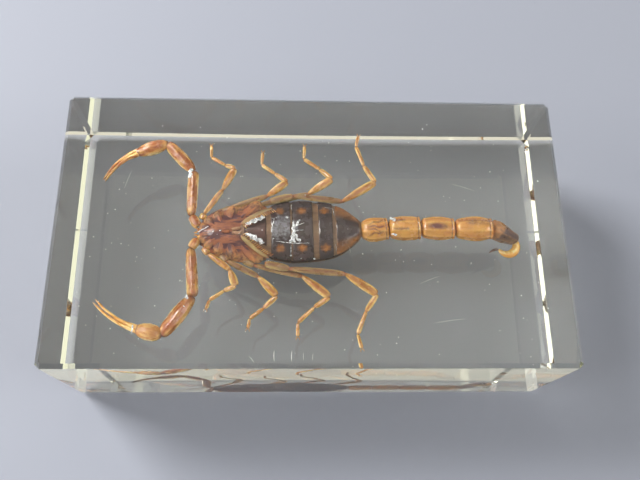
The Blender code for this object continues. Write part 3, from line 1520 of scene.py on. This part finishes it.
@dataclass
class Leg:
    """One walking leg: trochanter, femur, patella, tibia and two foot segments."""

    finishes: Finishes
    side: Side
    number: int
    start: Point
    runs: tuple[Run, ...]
    widths: tuple[float, ...] = (1.25, 1.15, 1.5, 0.92, 0.74, 0.62)

    def build(self) -> None:
        """Model the leg joint by joint, with its spurs and claws."""
        name = f"leg_{self.side.word}_{self.number}"
        size = 0.9 + 0.03 * self.number
        thigh = self.finishes.leg if self.number == 1 else self.finishes.thigh
        finishes = (thigh, thigh, *[self.finishes.leg] * 4)
        shapes = (TROCHANTER, THIGH, KNEE, SHANK, FOOT, FOOT)
        sections = (Section.ROUND, *[Section.KEELED] * 2, *[Section.ROUND] * 3)
        spot = self.start
        pieces = []
        for run, wide, shape, section, finish in zip(self.runs, self.widths, shapes, sections, finishes):
            wide *= size
            piece = limb("segment", run.length, wide, wide * 0.82, shape, section=section)
            roughen(piece, 0.07, 0.3, seed=run.heading)
            mark_core(piece, wide, run.length, 0.38 if section is Section.KEELED else 0.3)
            place(piece, spot, run.heading, run.rise)
            pieces.append(dress(piece, finish))
            spot = run.end(spot)
            if shape is SHANK and self.number > 2:
                pieces.append(self._spur(spot, run, size))
        last = self.runs[-1]
        for spread in (24.0, -24.0):
            claw = limb("claw", 0.62, 0.17, 0.17, CLAW, sides=6, rounds=1, bow=0.12 if spread > 0 else -0.12)
            place(claw, spot, last.heading + spread, last.rise - 12.0)
            pieces.append(dress(claw, self.finishes.tail))
        finish_piece(join(name, pieces))

    def _spur(self, spot: Point, run: Run, size: float) -> bpy.types.Object:
        """Model the spur at the end of a tibia.

        Args:
            spot: The joint that it stands at.
            run: The tibia.
            size: The leg's scale.

        Returns:
            The spur, in place.
        """
        spur = limb("spur", 0.75 * size, 0.2, 0.2, CLAW, sides=6, rounds=1)
        place(spur, spot, run.heading - 38.0 * self.side.value, run.rise)
        return dress(spur, self.finishes.leg)


@dataclass
class Arm:
    """One pincer arm: trochanter, femur, patella, hand and two long fingers."""

    finishes: Finishes
    side: Side
    start: Point
    runs: tuple[Run, Run, Run, Run]
    finger: Run
    widths: tuple[float, float, float, float]
    finger_wide: float
    finger_bow: float
    gape: float
    hand_finish: bpy.types.Material

    def build(self) -> None:
        """Model the arm joint by joint, then its fingers."""
        name = f"arm_{self.side.word}"
        labels = ("trochanter", "femur", "patella", "hand")
        shapes = (
            TROCHANTER,
            profile((-0.02, 0.4, 0.5), (0.05, 0.72, 0.8), (0.15, 0.88, 0.95), (0.5, 0.95, 1.0),
                    (0.88, 1.0, 1.0), (0.96, 0.85, 0.85), (1.01, 0.5, 0.5)),
            profile((-0.02, 0.4, 0.5), (0.05, 0.58, 0.7), (0.2, 0.9, 0.95), (0.45, 1.0, 1.0),
                    (0.8, 0.92, 0.95), (0.95, 0.72, 0.75), (1.02, 0.42, 0.45)),
            profile((-0.03, 0.32, 0.4), (0.05, 0.55, 0.65), (0.22, 0.88, 0.92), (0.5, 1.0, 1.0),
                    (0.78, 0.88, 0.9), (0.95, 0.6, 0.65), (1.05, 0.4, 0.42)),
        )
        spot = self.start
        for label, run, wide, shape in zip(labels, self.runs, self.widths, shapes):
            section = Section.ROUND if label == "hand" else Section.KEELED
            piece = limb(f"{name}_{label}", run.length, wide, wide * 0.84, shape, sides=16, section=section)
            roughen(piece, 0.12, 0.45, seed=run.heading)
            mark_core(piece, wide, run.length, 0.5)
            place(piece, spot, run.heading, run.rise)
            dress(piece, self.hand_finish if label == "hand" else self.finishes.limb)
            finish_piece(piece)
            spot = run.end(spot)
        self._build_fingers(name, spot)

    def _build_fingers(self, name: str, spot: Point) -> None:
        """Model the fixed and the movable finger, side by side.

        Args:
            name: The arm's name.
            spot: Where the hand ends.
        """
        shape = profile((-0.08, 1.5, 1.3), (0.0, 1.5, 1.4), (0.1, 1.55, 1.45), (0.2, 1.1, 1.1),
                        (0.35, 0.9, 0.95), (0.65, 0.75, 0.82), (0.92, 0.55, 0.55), (1.0, 0.2, 0.2))
        for label, offset, spread in (("fixed_finger", 0.24, 0.5), ("moving_finger", -0.24, -0.5)):
            piece = limb(f"{name}_{label}", self.finger.length, self.finger_wide, self.finger_wide * 1.05,
                         shape, sides=10, bow=self.finger_bow)
            self._cut_teeth(piece, -1.0 if offset > 0 else 1.0)
            mark(piece, "joint", lambda rows: np.clip(rows[:, 0] / self.finger.length - 0.82, 0.0, 1.0) * 4.0)
            place(piece, (0.0, offset, 0.0), heading=self.gape * spread)
            place(piece, spot, self.finger.heading, self.finger.rise)
            dress(piece, self.hand_finish)
            finish_piece(piece)

    @staticmethod
    def _cut_teeth(piece: bpy.types.Object, inner: float) -> None:
        """Raise the row of fine teeth along a finger's inner edge.

        Args:
            piece: The finger, along +X.
            inner: 1 where the other finger is at +Y, -1 where it is at -Y.
        """
        rows = places(piece)
        wave = 0.02 * (1.0 + np.sin(rows[:, 0] * 14.0))
        rows[:, 1] += inner * wave * (inner * rows[:, 1] > 0.12)
        put_back(piece, rows)


# ---------------------------------------------------------------- tail


@dataclass(frozen=True)
class TailRing:
    """One ring of the tail: its run, its three widths and where it is widest."""

    run: Run
    front: float
    middle: float
    rear: float
    middle_at: float = 0.5


@dataclass
class Tail:
    """The five tail rings, the telson and its sting."""

    finishes: Finishes
    start: Point = (7.35, 1.15, 13.0)
    rings: tuple[TailRing, ...] = (
        TailRing(Run(4.2, 5.0), 2.8, 3.85, 3.5, 0.4),
        TailRing(Run(4.95, 1.5), 3.15, 3.85, 3.6, 0.45),
        TailRing(Run(5.15, -1.0), 3.1, 3.75, 3.3),
        TailRing(Run(5.8, 0.0), 3.1, 4.0, 3.3, 0.52),
        TailRing(Run(6.1, -8.0, -51.0), 3.2, 3.1, 2.1, 0.4),
    )
    depth_share: float = 0.88
    telson_turn: float = -40.0
    telson_length: float = 5.2
    telson_wide: float = 1.45
    telson_bend: float = -205.0
    sting: Run = Run(1.8, -157.0, 6.0)
    keels: tuple[float, ...] = (-152.0, -122.0, -92.0, -62.0, -24.0, 24.0, 62.0, 92.0, 122.0, 152.0)
    keel_height: float = 0.085

    def build(self) -> None:
        """Model the rings from the body outwards, then the telson."""
        spot = self.start
        for number, ring in enumerate(self.rings, start=1):
            self._build_ring(number, ring, spot)
            spot = ring.run.end(spot)
        self._build_telson(spot)

    def _build_ring(self, number: int, ring: TailRing, spot: Point) -> None:
        """Model one ring, with lengthwise keels and a waist at each end.

        Args:
            number: Its place behind the body.
            ring: Its sizes.
            spot: Where it starts.
        """
        run, at = ring.run, ring.middle_at
        widest = max(ring.front, ring.middle, ring.rear)
        first, most, last = ring.front / widest, ring.middle / widest, ring.rear / widest
        swells = profile((-0.03, 0.4, 0.5), (0.01, 0.66 * first, 0.66), (0.05, 0.92 * first, 0.82),
                         (0.11, 1.02 * first, 0.9), (at - 0.16, 0.25 * first + 0.75 * most, 0.98),
                         (at, most, 1.0), (at + 0.18, 0.7 * most + 0.3 * last, 1.0),
                         (0.83, 1.01 * last, 0.97), (0.885, 0.95 * last, 0.93),
                         (0.905, 0.95 * last, 0.93), (0.93, 1.01 * last, 0.98),
                         (0.975, 0.98 * last, 0.96), (0.99, 0.7 * last, 0.7), (1.01, 0.4, 0.4))
        piece = limb(f"tail_ring_{number}", run.length, widest, widest * self.depth_share, swells, sides=20)
        raise_keels(piece, self.keels, self.keel_height)
        roughen(piece, 0.08, 0.3, seed=float(number))
        mark(piece, "joint", lambda rows: np.maximum(
            fade(rows[:, 0], 0.2), fade(np.abs(rows[:, 0] - 0.895 * run.length), 0.16) * 0.9))
        mark(piece, "patch", lambda rows: self._stain_mask(rows, number, run.length))
        place(piece, spot, run.heading, run.rise)
        dress(piece, self.finishes.tail_end if number == len(self.rings) else self.finishes.tail)
        finish_piece(piece)

    @staticmethod
    def _stain_mask(rows: np.ndarray, number: int, length: float) -> np.ndarray:
        """Return the dark muscle that shows through the middle of a ring's panels.

        Args:
            rows: Places on the ring, along +X.
            number: The ring's place behind the body.
            length: The ring's length.

        Returns:
            The mask, from 0 to 1.
        """
        run, across = rows[:, 0] / length, rows[:, 1]
        inside = np.clip(np.minimum(run - 0.08, 0.86 - run) / 0.1, 0.0, 1.0)
        if number == 1:
            squiggle = 0.12 * np.sin(run * 17.0)
            lines = [np.exp(-(((across - offset - lean * (run - 0.5) - squiggle) / 0.12) ** 2))
                     for offset, lean in ((0.75, 0.9), (0.1, -0.5), (-0.45, -1.2), (-0.95, 0.6))]
            return 1.5 * np.maximum.reduce(lines) * np.clip((run - 0.2) / 0.2, 0.0, 1.0) * inside
        if number == 2:
            far = np.exp(-(((across - 0.95) / 0.22) ** 2)) * (run < 0.5)
            near = np.exp(-(((across + 0.5) / 0.2) ** 2)) * (run < 0.6)
            return np.maximum(far, near) * inside
        if number == 3:
            return 1.3 * np.clip(1.35 - np.hypot((run - 0.47) / 0.27, across / 0.55), 0.0, 1.0)
        if number == 4:
            return 0.9 * np.exp(-(((across - 0.75) / 0.45) ** 2)) * np.clip((run - 0.25) / 0.1, 0.0, 1.0)
        return 0.8 * np.clip((0.27 - run + 0.1 * across) / 0.08, 0.0, 1.0)

    def _build_telson(self, spot: Point) -> None:
        """Model the bulb as a tube bent round, and join its curved sting at its tip.

        Args:
            spot: Where the last ring ends.
        """
        length, wide = self.telson_length, self.telson_wide / 2
        shares = ((0.0, 0.35), (0.05, 0.55), (0.2, 0.86), (0.45, 1.0), (0.7, 0.84), (0.88, 0.5), (1.0, 0.3))
        rings = [Ring(length * share, wide * size, wide * size * 0.95) for share, size in shares]
        telson = loft("telson_bulb", rings, sides=14, rounds=2)
        roughen(telson, 0.05, 0.4)
        mark_skin(telson)
        # Painted highlight: a pale stripe along the middle of the bulb.
        mark(telson, "pale_tone_and_painted_light", lambda rows: fade(np.abs(rows[:, 1] + 0.1), 0.45))
        apply_modifier(telson, "SIMPLE_DEFORM", deform_method="BEND", deform_axis="Z",
                       angle=math.radians(self.telson_bend))
        place(telson, spot, self.telson_turn, 0.0)
        dress(telson, self.finishes.telson)
        radius = length / math.radians(-self.telson_bend)
        centre_turn = math.radians(self.telson_turn - 90.0)
        end_turn = math.radians(self.telson_turn + 90.0 + self.telson_bend)
        tip = (spot[0] + radius * (math.cos(centre_turn) + math.cos(end_turn)),
               spot[1] + radius * (math.sin(centre_turn) + math.sin(end_turn)), spot[2])
        sting = limb("sting", self.sting.length, 0.55, 0.55, CLAW, sides=10, bow=-0.25)
        mark(sting, "joint", lambda rows: np.clip(rows[:, 0] / self.sting.length - 0.3, 0.0, 0.4) * 2.5)
        place(sting, tip, self.sting.heading, self.sting.rise)
        dress(sting, self.finishes.tail_end)
        finish_piece(join("telson_and_sting", [telson, sting]))


# ---------------------------------------------------------------- what is sealed in beside it


@dataclass(frozen=True)
class Glint:
    """A flat pocket of air on the belly: its start, length, heading, greatest width and extra height."""

    at: tuple[float, float]
    length: float
    heading: float
    wide: float
    lift: float = 0.0


@dataclass
class TrappedAir:
    """Silvery pockets of air that cling to the animal."""

    finishes: Finishes
    trunk: Trunk
    belly: tuple[Glint, ...] = (
        Glint((-9.9, 1.5), 3.2, 23.0, 0.84, lift=0.55),
        Glint((-9.8, 0.1), 3.2, -29.0, 0.84, lift=0.55),
        Glint((-9.9, 1.1), 0.9, 70.0, 0.35),
        Glint((-2.75, 2.15), 3.5, -88.0, 0.62),
        Glint((-2.6, 1.0), 1.7, 62.0, 0.45),
        Glint((-2.85, 0.4), 1.9, -54.0, 0.62),
        Glint((-2.6, 0.3), 1.7, -112.0, 0.6),
        Glint((-2.7, 0.6), 1.5, 6.0, 0.16),
        Glint((-2.6, 1.3), 1.6, 22.0, 0.13),
        Glint((-5.45, -1.0), 2.8, -7.0, 0.13),
        Glint((-2.9, -1.35), 2.6, 2.0, 0.13),
        Glint((-3.1, -1.5), 1.7, -90.0, 0.12),
        Glint((-5.9, 1.2), 1.5, 78.0, 0.16),
        Glint((1.9, 4.6), 1.3, -8.0, 0.1),
        Glint((3.15, 4.4), 1.3, -80.0, 0.13),
        Glint((-3.1, 5.1), 1.0, -90.0, 0.12),
    )
    beads: tuple[tuple[float, float, float], ...] = (
        (-3.72, 2.75, 0.2), (-3.1, -3.1, 0.17), (-1.6, -3.5, 0.12), (0.35, -3.5, 0.17), (-9.3, 1.7, 0.16),
        (-14.6, 0.55, 0.14), (-13.6, 0.7, 0.1), (-14.0, 0.1, 0.09), (-5.3, 2.7, 0.1))
    limb_glints: tuple[tuple[Point, float, float, float], ...] = (
        ((-18.5, 9.2, 14.0), 1.7, 88.0, 0.75), ((-18.0, -9.1, 14.0), 0.8, -80.0, 0.5),
        ((-25.2, -14.85, 14.6), 1.3, 86.0, 0.28), ((11.7, 2.9, 14.7), 1.0, -35.0, 0.6),
        ((11.8, 0.25, 14.5), 0.9, -5.0, 0.4), ((-16.9, 0.35, 14.4), 1.9, 32.0, 0.2))

    def build(self) -> None:
        """Model the pockets on the belly, the beads, and the pockets at the joints."""
        pockets = [self._pocket(glint, number) for number, glint in enumerate(self.belly)]
        pockets += [self._bead(*bead) for bead in self.beads]
        finish_piece(join("air_on_belly", pockets))
        loose = []
        for number, (at, length, heading, wide) in enumerate(self.limb_glints):
            piece = self._blade(f"joint_pocket_{number}", length, wide, number)
            loose.append(place(piece, at, heading))
        finish_piece(join("air_at_joints", loose))

    def _blade(self, name: str, length: float, wide: float, seed: int) -> bpy.types.Object:
        """Model one thin, ragged pocket along +X.

        Args:
            name: The pocket's name.
            length: Its length.
            wide: Its greatest width.
            seed: Shifts its raggedness.

        Returns:
            The pocket, dressed.
        """
        piece = limb(name, length, wide, 0.09, profile((0.0, 0.25, 0.5), (0.12, 0.6, 1.0),
                                                       (0.35, 1.0, 1.0), (0.6, 0.75, 1.0),
                                                       (0.85, 0.9, 1.0), (1.0, 0.3, 0.5)), sides=10)
        rows = places(piece)
        ragged = 0.22 * np.sin(rows[:, 0] * 5.1 + seed) + 0.16 * np.sin(rows[:, 0] * 11.7 + 2.0 * seed)
        rows[:, 1] *= 1.0 + ragged
        rows[:, 1] += 0.12 * wide * np.sin(rows[:, 0] * 7.3 + 3.0 * seed)
        put_back(piece, rows)
        return dress(piece, self.finishes.air)

    def _pocket(self, glint: Glint, seed: int) -> bpy.types.Object:
        """Lay one pocket on the belly plates.

        Args:
            glint: Where it lies and its size.
            seed: Shifts its raggedness.

        Returns:
            The pocket, in place.
        """
        piece = self._blade("pocket", glint.length, glint.wide, seed)
        place(piece, (*glint.at, 0.0), glint.heading)
        rows = places(piece)
        rows[:, 2] += [self.trunk.surface(along, across) + glint.lift for along, across in rows[:, :2]]
        put_back(piece, rows)
        return piece

    def _bead(self, along: float, across: float, radius: float) -> bpy.types.Object:
        """Model one bead of air on the belly.

        Args:
            along: Its place in the block, from end to end.
            across: Its place in the block, from side to side.
            radius: Its radius.

        Returns:
            The bead, dressed.
        """
        deselect()
        height = self.trunk.surface(along, across)
        bpy.ops.mesh.primitive_ico_sphere_add(subdivisions=2, radius=radius, location=(along, across, height))
        bead = bpy.context.object
        bead.scale = (1.0, 0.9, 0.6)
        bpy.ops.object.transform_apply(location=True, rotation=True, scale=True)
        bpy.ops.object.shade_smooth()
        return dress(bead, self.finishes.air)


class Scratch(NamedTuple):
    """A fine scratch: its start along and across the block, its length, heading and width."""

    along: float
    across: float
    length: float
    heading: float
    wide: float = 0.05


@dataclass
class Inclusions:
    """Dust and tiny bubbles in the resin, and fine scratches under its top face."""

    finishes: Finishes
    dust_count: int = 220
    dust_size: tuple[float, float] = (0.025, 0.085)
    dust_room: tuple[tuple[float, float], ...] = ((-34.0, 34.0), (-18.0, 18.0), (9.0, 21.3))
    scratch_height: float = 21.93
    seed: int = 11
    scratches: tuple[Scratch, ...] = (
        Scratch(-8.6, -18.9, 1.2, -52.0, 0.1),
        Scratch(-5.2, -19.7, 1.6, 91.0, 0.17),
        Scratch(-2.9, -19.7, 1.6, 89.0, 0.17),
        Scratch(-1.3, -19.6, 1.2, 92.0, 0.08),
        Scratch(-0.1, -19.6, 1.1, 88.0, 0.08),
        Scratch(3.1, -3.0, 1.3, -84.0),
        Scratch(5.0, -3.3, 1.2, -80.0),
        Scratch(14.5, -9.0, 3.5, 22.0),
        Scratch(20.0, 6.5, 4.2, -18.0),
        Scratch(-27.0, 5.0, 3.4, 74.0),
        Scratch(16.0, -14.5, 5.0, 8.0),
    )

    def build(self) -> None:
        """Model the dust and the scratches."""
        rng = np.random.default_rng(self.seed)
        grains = []
        for _ in range(self.dust_count):
            at = tuple(rng.uniform(low, high) for low, high in self.dust_room)
            deselect()
            bpy.ops.mesh.primitive_ico_sphere_add(subdivisions=1, radius=1.0, location=at)
            grain = bpy.context.object
            radius = rng.uniform(*self.dust_size)
            grain.scale = (radius * rng.uniform(0.7, 1.8), radius, radius * 0.8)
            grain.rotation_euler = (0.0, 0.0, rng.uniform(0.0, math.pi))
            bpy.ops.object.transform_apply(location=True, rotation=True, scale=True)
            grains.append(dress(grain, self.finishes.dust))
        finish_piece(join("dust_in_resin", grains))
        lines = []
        for scratch in self.scratches:
            line = limb("scratch", scratch.length, scratch.wide, 0.02, profile(
                (0.0, 0.2, 0.5), (0.5, 1.0, 1.0), (1.0, 0.2, 0.5)), sides=6, rounds=1, bow=0.1)
            place(line, (scratch.along, scratch.across, self.scratch_height), scratch.heading)
            lines.append(dress(line, self.finishes.dust))
        finish_piece(join("scratches_under_top_face", lines))


# ---------------------------------------------------------------- studio


@dataclass(frozen=True)
class SoftBox:
    """One soft light, aimed at the block."""

    name: str
    at: Point
    size: tuple[float, float]
    power: float
    colour: Colour = (1.0, 1.0, 1.0)

    def build(self) -> None:
        """Add the light."""
        lamp = bpy.data.lights.new(self.name, "AREA")
        lamp.shape = "RECTANGLE"
        lamp.size, lamp.size_y = self.size
        lamp.energy = self.power
        lamp.color = self.colour
        holder = bpy.data.objects.new(self.name, lamp)
        bpy.context.scene.collection.objects.link(holder)
        holder.location = self.at
        aim = Vector(LIGHT_TARGET) - Vector(self.at)
        holder.rotation_euler = aim.to_track_quat("-Z", "Y").to_euler()


@dataclass
class Studio:
    """The plain floor, the soft light and the camera."""

    floor_colour: Colour = (0.235, 0.245, 0.28)
    sky_colour: Colour = (0.95, 0.97, 1.0)
    sky_strength: float = 0.32
    camera_at: Point = (-3.19, -37.18, 114.15)
    pitch: float = 69.24
    yaw: float = 6.84
    roll: float = 6.78
    lens: float = 39.375
    boxes: tuple[SoftBox, ...] = (
        SoftBox("key", (-0.4, 0.24, 0.4), (0.24, 0.24), 5.2),
        SoftBox("left_strip", (-0.5, 0.0, 0.16), (0.9, 0.28), 0.75, (1.0, 0.99, 0.92)),
        SoftBox("right_strip", (0.5, 0.0, 0.16), (0.9, 0.28), 0.42, (1.0, 1.0, 0.8)),
        SoftBox("front_strip", (0.0, -0.55, 0.27), (0.9, 0.25), 0.26, (1.0, 0.9, 0.74)),
        SoftBox("right_fill", (0.5, -0.1, 0.42), (0.4, 0.25), 1.6),
        SoftBox("left_fill", (-0.5, -0.1, 0.36), (0.3, 0.2), 1.2),
        SoftBox("overhead", (0.0, 0.24, 0.6), (0.6, 0.4), 0.4, (1.0, 0.95, 0.78)),
    )

    def build(self) -> None:
        """Set up the floor, the lights, the camera and the view."""
        self._build_floor()
        for box in self.boxes:
            box.build()
        world = bpy.data.worlds.new("studio")
        world.use_nodes = True
        sky = world.node_tree.nodes["Background"]
        sky.inputs["Color"].default_value = (*self.sky_colour, 1.0)
        sky.inputs["Strength"].default_value = self.sky_strength
        scene = bpy.context.scene
        scene.world = world
        self._build_camera()
        scene.cycles.max_bounces = 20
        scene.cycles.glossy_bounces = 12
        scene.cycles.transmission_bounces = 16
        scene.view_settings.view_transform = "Standard"
        scene.view_settings.look = "Medium High Contrast"

    def _build_floor(self) -> None:
        """Add the floor just under the block."""
        deselect()
        bpy.ops.mesh.primitive_plane_add(size=3.0, location=(0.0, 0.0, -0.05 * MM))
        floor = bpy.context.object
        floor.name = "floor"
        material = bpy.data.materials.new("floor")
        material.use_nodes = True
        shader = material.node_tree.nodes["Principled BSDF"]
        shader.inputs["Base Color"].default_value = (*self.floor_colour, 1.0)
        shader.inputs["Roughness"].default_value = 0.75
        dress(floor, material)

    def _build_camera(self) -> None:
        """Add the camera above the block's front edge, looking steeply down."""
        lens = bpy.data.cameras.new("camera")
        lens.lens = self.lens
        lens.clip_start = 0.01
        camera = bpy.data.objects.new("camera", lens)
        bpy.context.scene.collection.objects.link(camera)
        camera.matrix_world = (
            Matrix.Translation(Vector(self.camera_at) * MM)
            @ Matrix.Rotation(-math.radians(self.yaw), 4, "Z")
            @ Matrix.Rotation(math.radians(90.0 - self.pitch), 4, "X")
            @ Matrix.Rotation(math.radians(self.roll), 4, "Z")
        )
        bpy.context.scene.camera = camera


# ---------------------------------------------------------------- the whole object


def build_legs(finishes: Finishes) -> None:
    """Model the eight walking legs, each bent as it dried."""
    left = (
        ((-16.5, 2.7, 13.2),
         (Run(1.0, 66.0, 8.0), Run(4.6, 56.0, 4.0), Run(4.1, 65.0, -4.0),
          Run(1.6, 158.0, -8.0), Run(2.6, 148.0, -4.0), Run(2.0, 93.0, 0.0))),
        ((-13.6, 3.6, 13.2),
         (Run(1.7, 36.0, 6.0), Run(5.8, 19.0, 2.0), Run(3.9, 40.0, -4.0),
          Run(2.4, 142.0, -10.0), Run(2.6, 143.0, -5.0), Run(2.1, 87.0, 0.0))),
        ((-10.2, 4.2, 12.9),
         (Run(2.4, 24.0, 2.0), Run(7.7, 14.0, 0.0), Run(4.5, 35.0, 0.0),
          Run(2.6, 137.0, -10.0), Run(3.1, 143.0, -5.0), Run(2.2, 87.0, 0.0))),
        ((-6.4, 5.6, 13.7),
         (Run(3.7, 14.0, 2.0), Run(7.5, -6.0, -2.0), Run(6.2, 33.0, -4.0),
          Run(3.4, 120.0, -8.0), Run(3.6, 108.0, -3.0), Run(1.8, 77.0, 0.0))),
    )
    right = (
        ((-16.0, -1.8, 13.2),
         (Run(1.3, -51.0, 6.0), Run(4.0, -37.0, 2.0), Run(2.6, -69.0, -4.0),
          Run(1.8, -158.0, -8.0), Run(2.5, -146.0, -4.0), Run(1.3, -108.0, 0.0))),
        ((-13.4, -2.9, 13.2),
         (Run(1.4, -45.0, 6.0), Run(5.1, -27.0, 0.0), Run(4.0, -46.0, -4.0),
          Run(2.6, -137.0, -10.0), Run(2.5, -143.0, -5.0), Run(1.4, -98.0, 0.0))),
        ((-10.2, -3.6, 12.9),
         (Run(1.9, -25.0, 2.0), Run(7.2, -13.0, 0.0), Run(5.1, -38.0, 0.0),
          Run(2.7, -146.0, -10.0), Run(3.3, -137.0, -5.0), Run(2.0, -90.0, 0.0))),
        ((-7.0, -4.3, 13.7),
         (Run(3.8, -12.0, 2.0), Run(8.2, -5.0, -2.0), Run(5.5, -33.0, -4.0),
          Run(3.0, -124.0, -8.0), Run(3.6, -111.0, -3.0), Run(2.1, -76.0, 0.0))),
    )
    for side, legs in ((Side.LEFT, left), (Side.RIGHT, right)):
        for number, (start, runs) in enumerate(legs, start=1):
            Leg(finishes, side, number, start, runs).build()


def build_arms(finishes: Finishes) -> None:
    """Model the two pincer arms, the left closed and the right a little open."""
    Arm(finishes, Side.LEFT, (-16.9, 1.5, 13.2),
        (Run(2.1, 123.0, 4.0), Run(7.3, 90.0, 0.0), Run(6.3, 132.0, 0.0), Run(4.8, -160.0, 0.0)),
        finger=Run(6.7, -134.0, 0.0), widths=(1.6, 1.85, 2.2, 2.5), finger_wide=0.66, finger_bow=-0.75,
        gape=-1.0, hand_finish=finishes.limb).build()
    Arm(finishes, Side.RIGHT, (-16.9, -0.4, 13.2),
        (Run(1.8, -121.0, 4.0), Run(7.4, -85.0, 0.0), Run(6.9, -126.0, 0.0), Run(3.6, 166.0, 0.0)),
        finger=Run(7.6, 147.0, 0.0), widths=(1.6, 1.9, 2.5, 2.65), finger_wide=0.54, finger_bow=0.6,
        gape=0.5, hand_finish=finishes.hand).build()


def main() -> None:
    """Build the whole object, from the casting inwards, and its studio."""
    logging.basicConfig(level=logging.INFO, format="%(name)s: %(message)s")
    finishes = Finishes()
    trunk = Trunk()
    ResinBlock(finishes.resin).build()
    FrontBody(finishes, trunk).build()
    Mouthparts(finishes, trunk).build()
    Combs(finishes, trunk).build()
    Abdomen(finishes, trunk).build()
    Tail(finishes).build()
    build_arms(finishes)
    build_legs(finishes)
    TrappedAir(finishes, trunk).build()
    Inclusions(finishes).build()
    Studio().build()


if __name__ == "__main__":
    main()
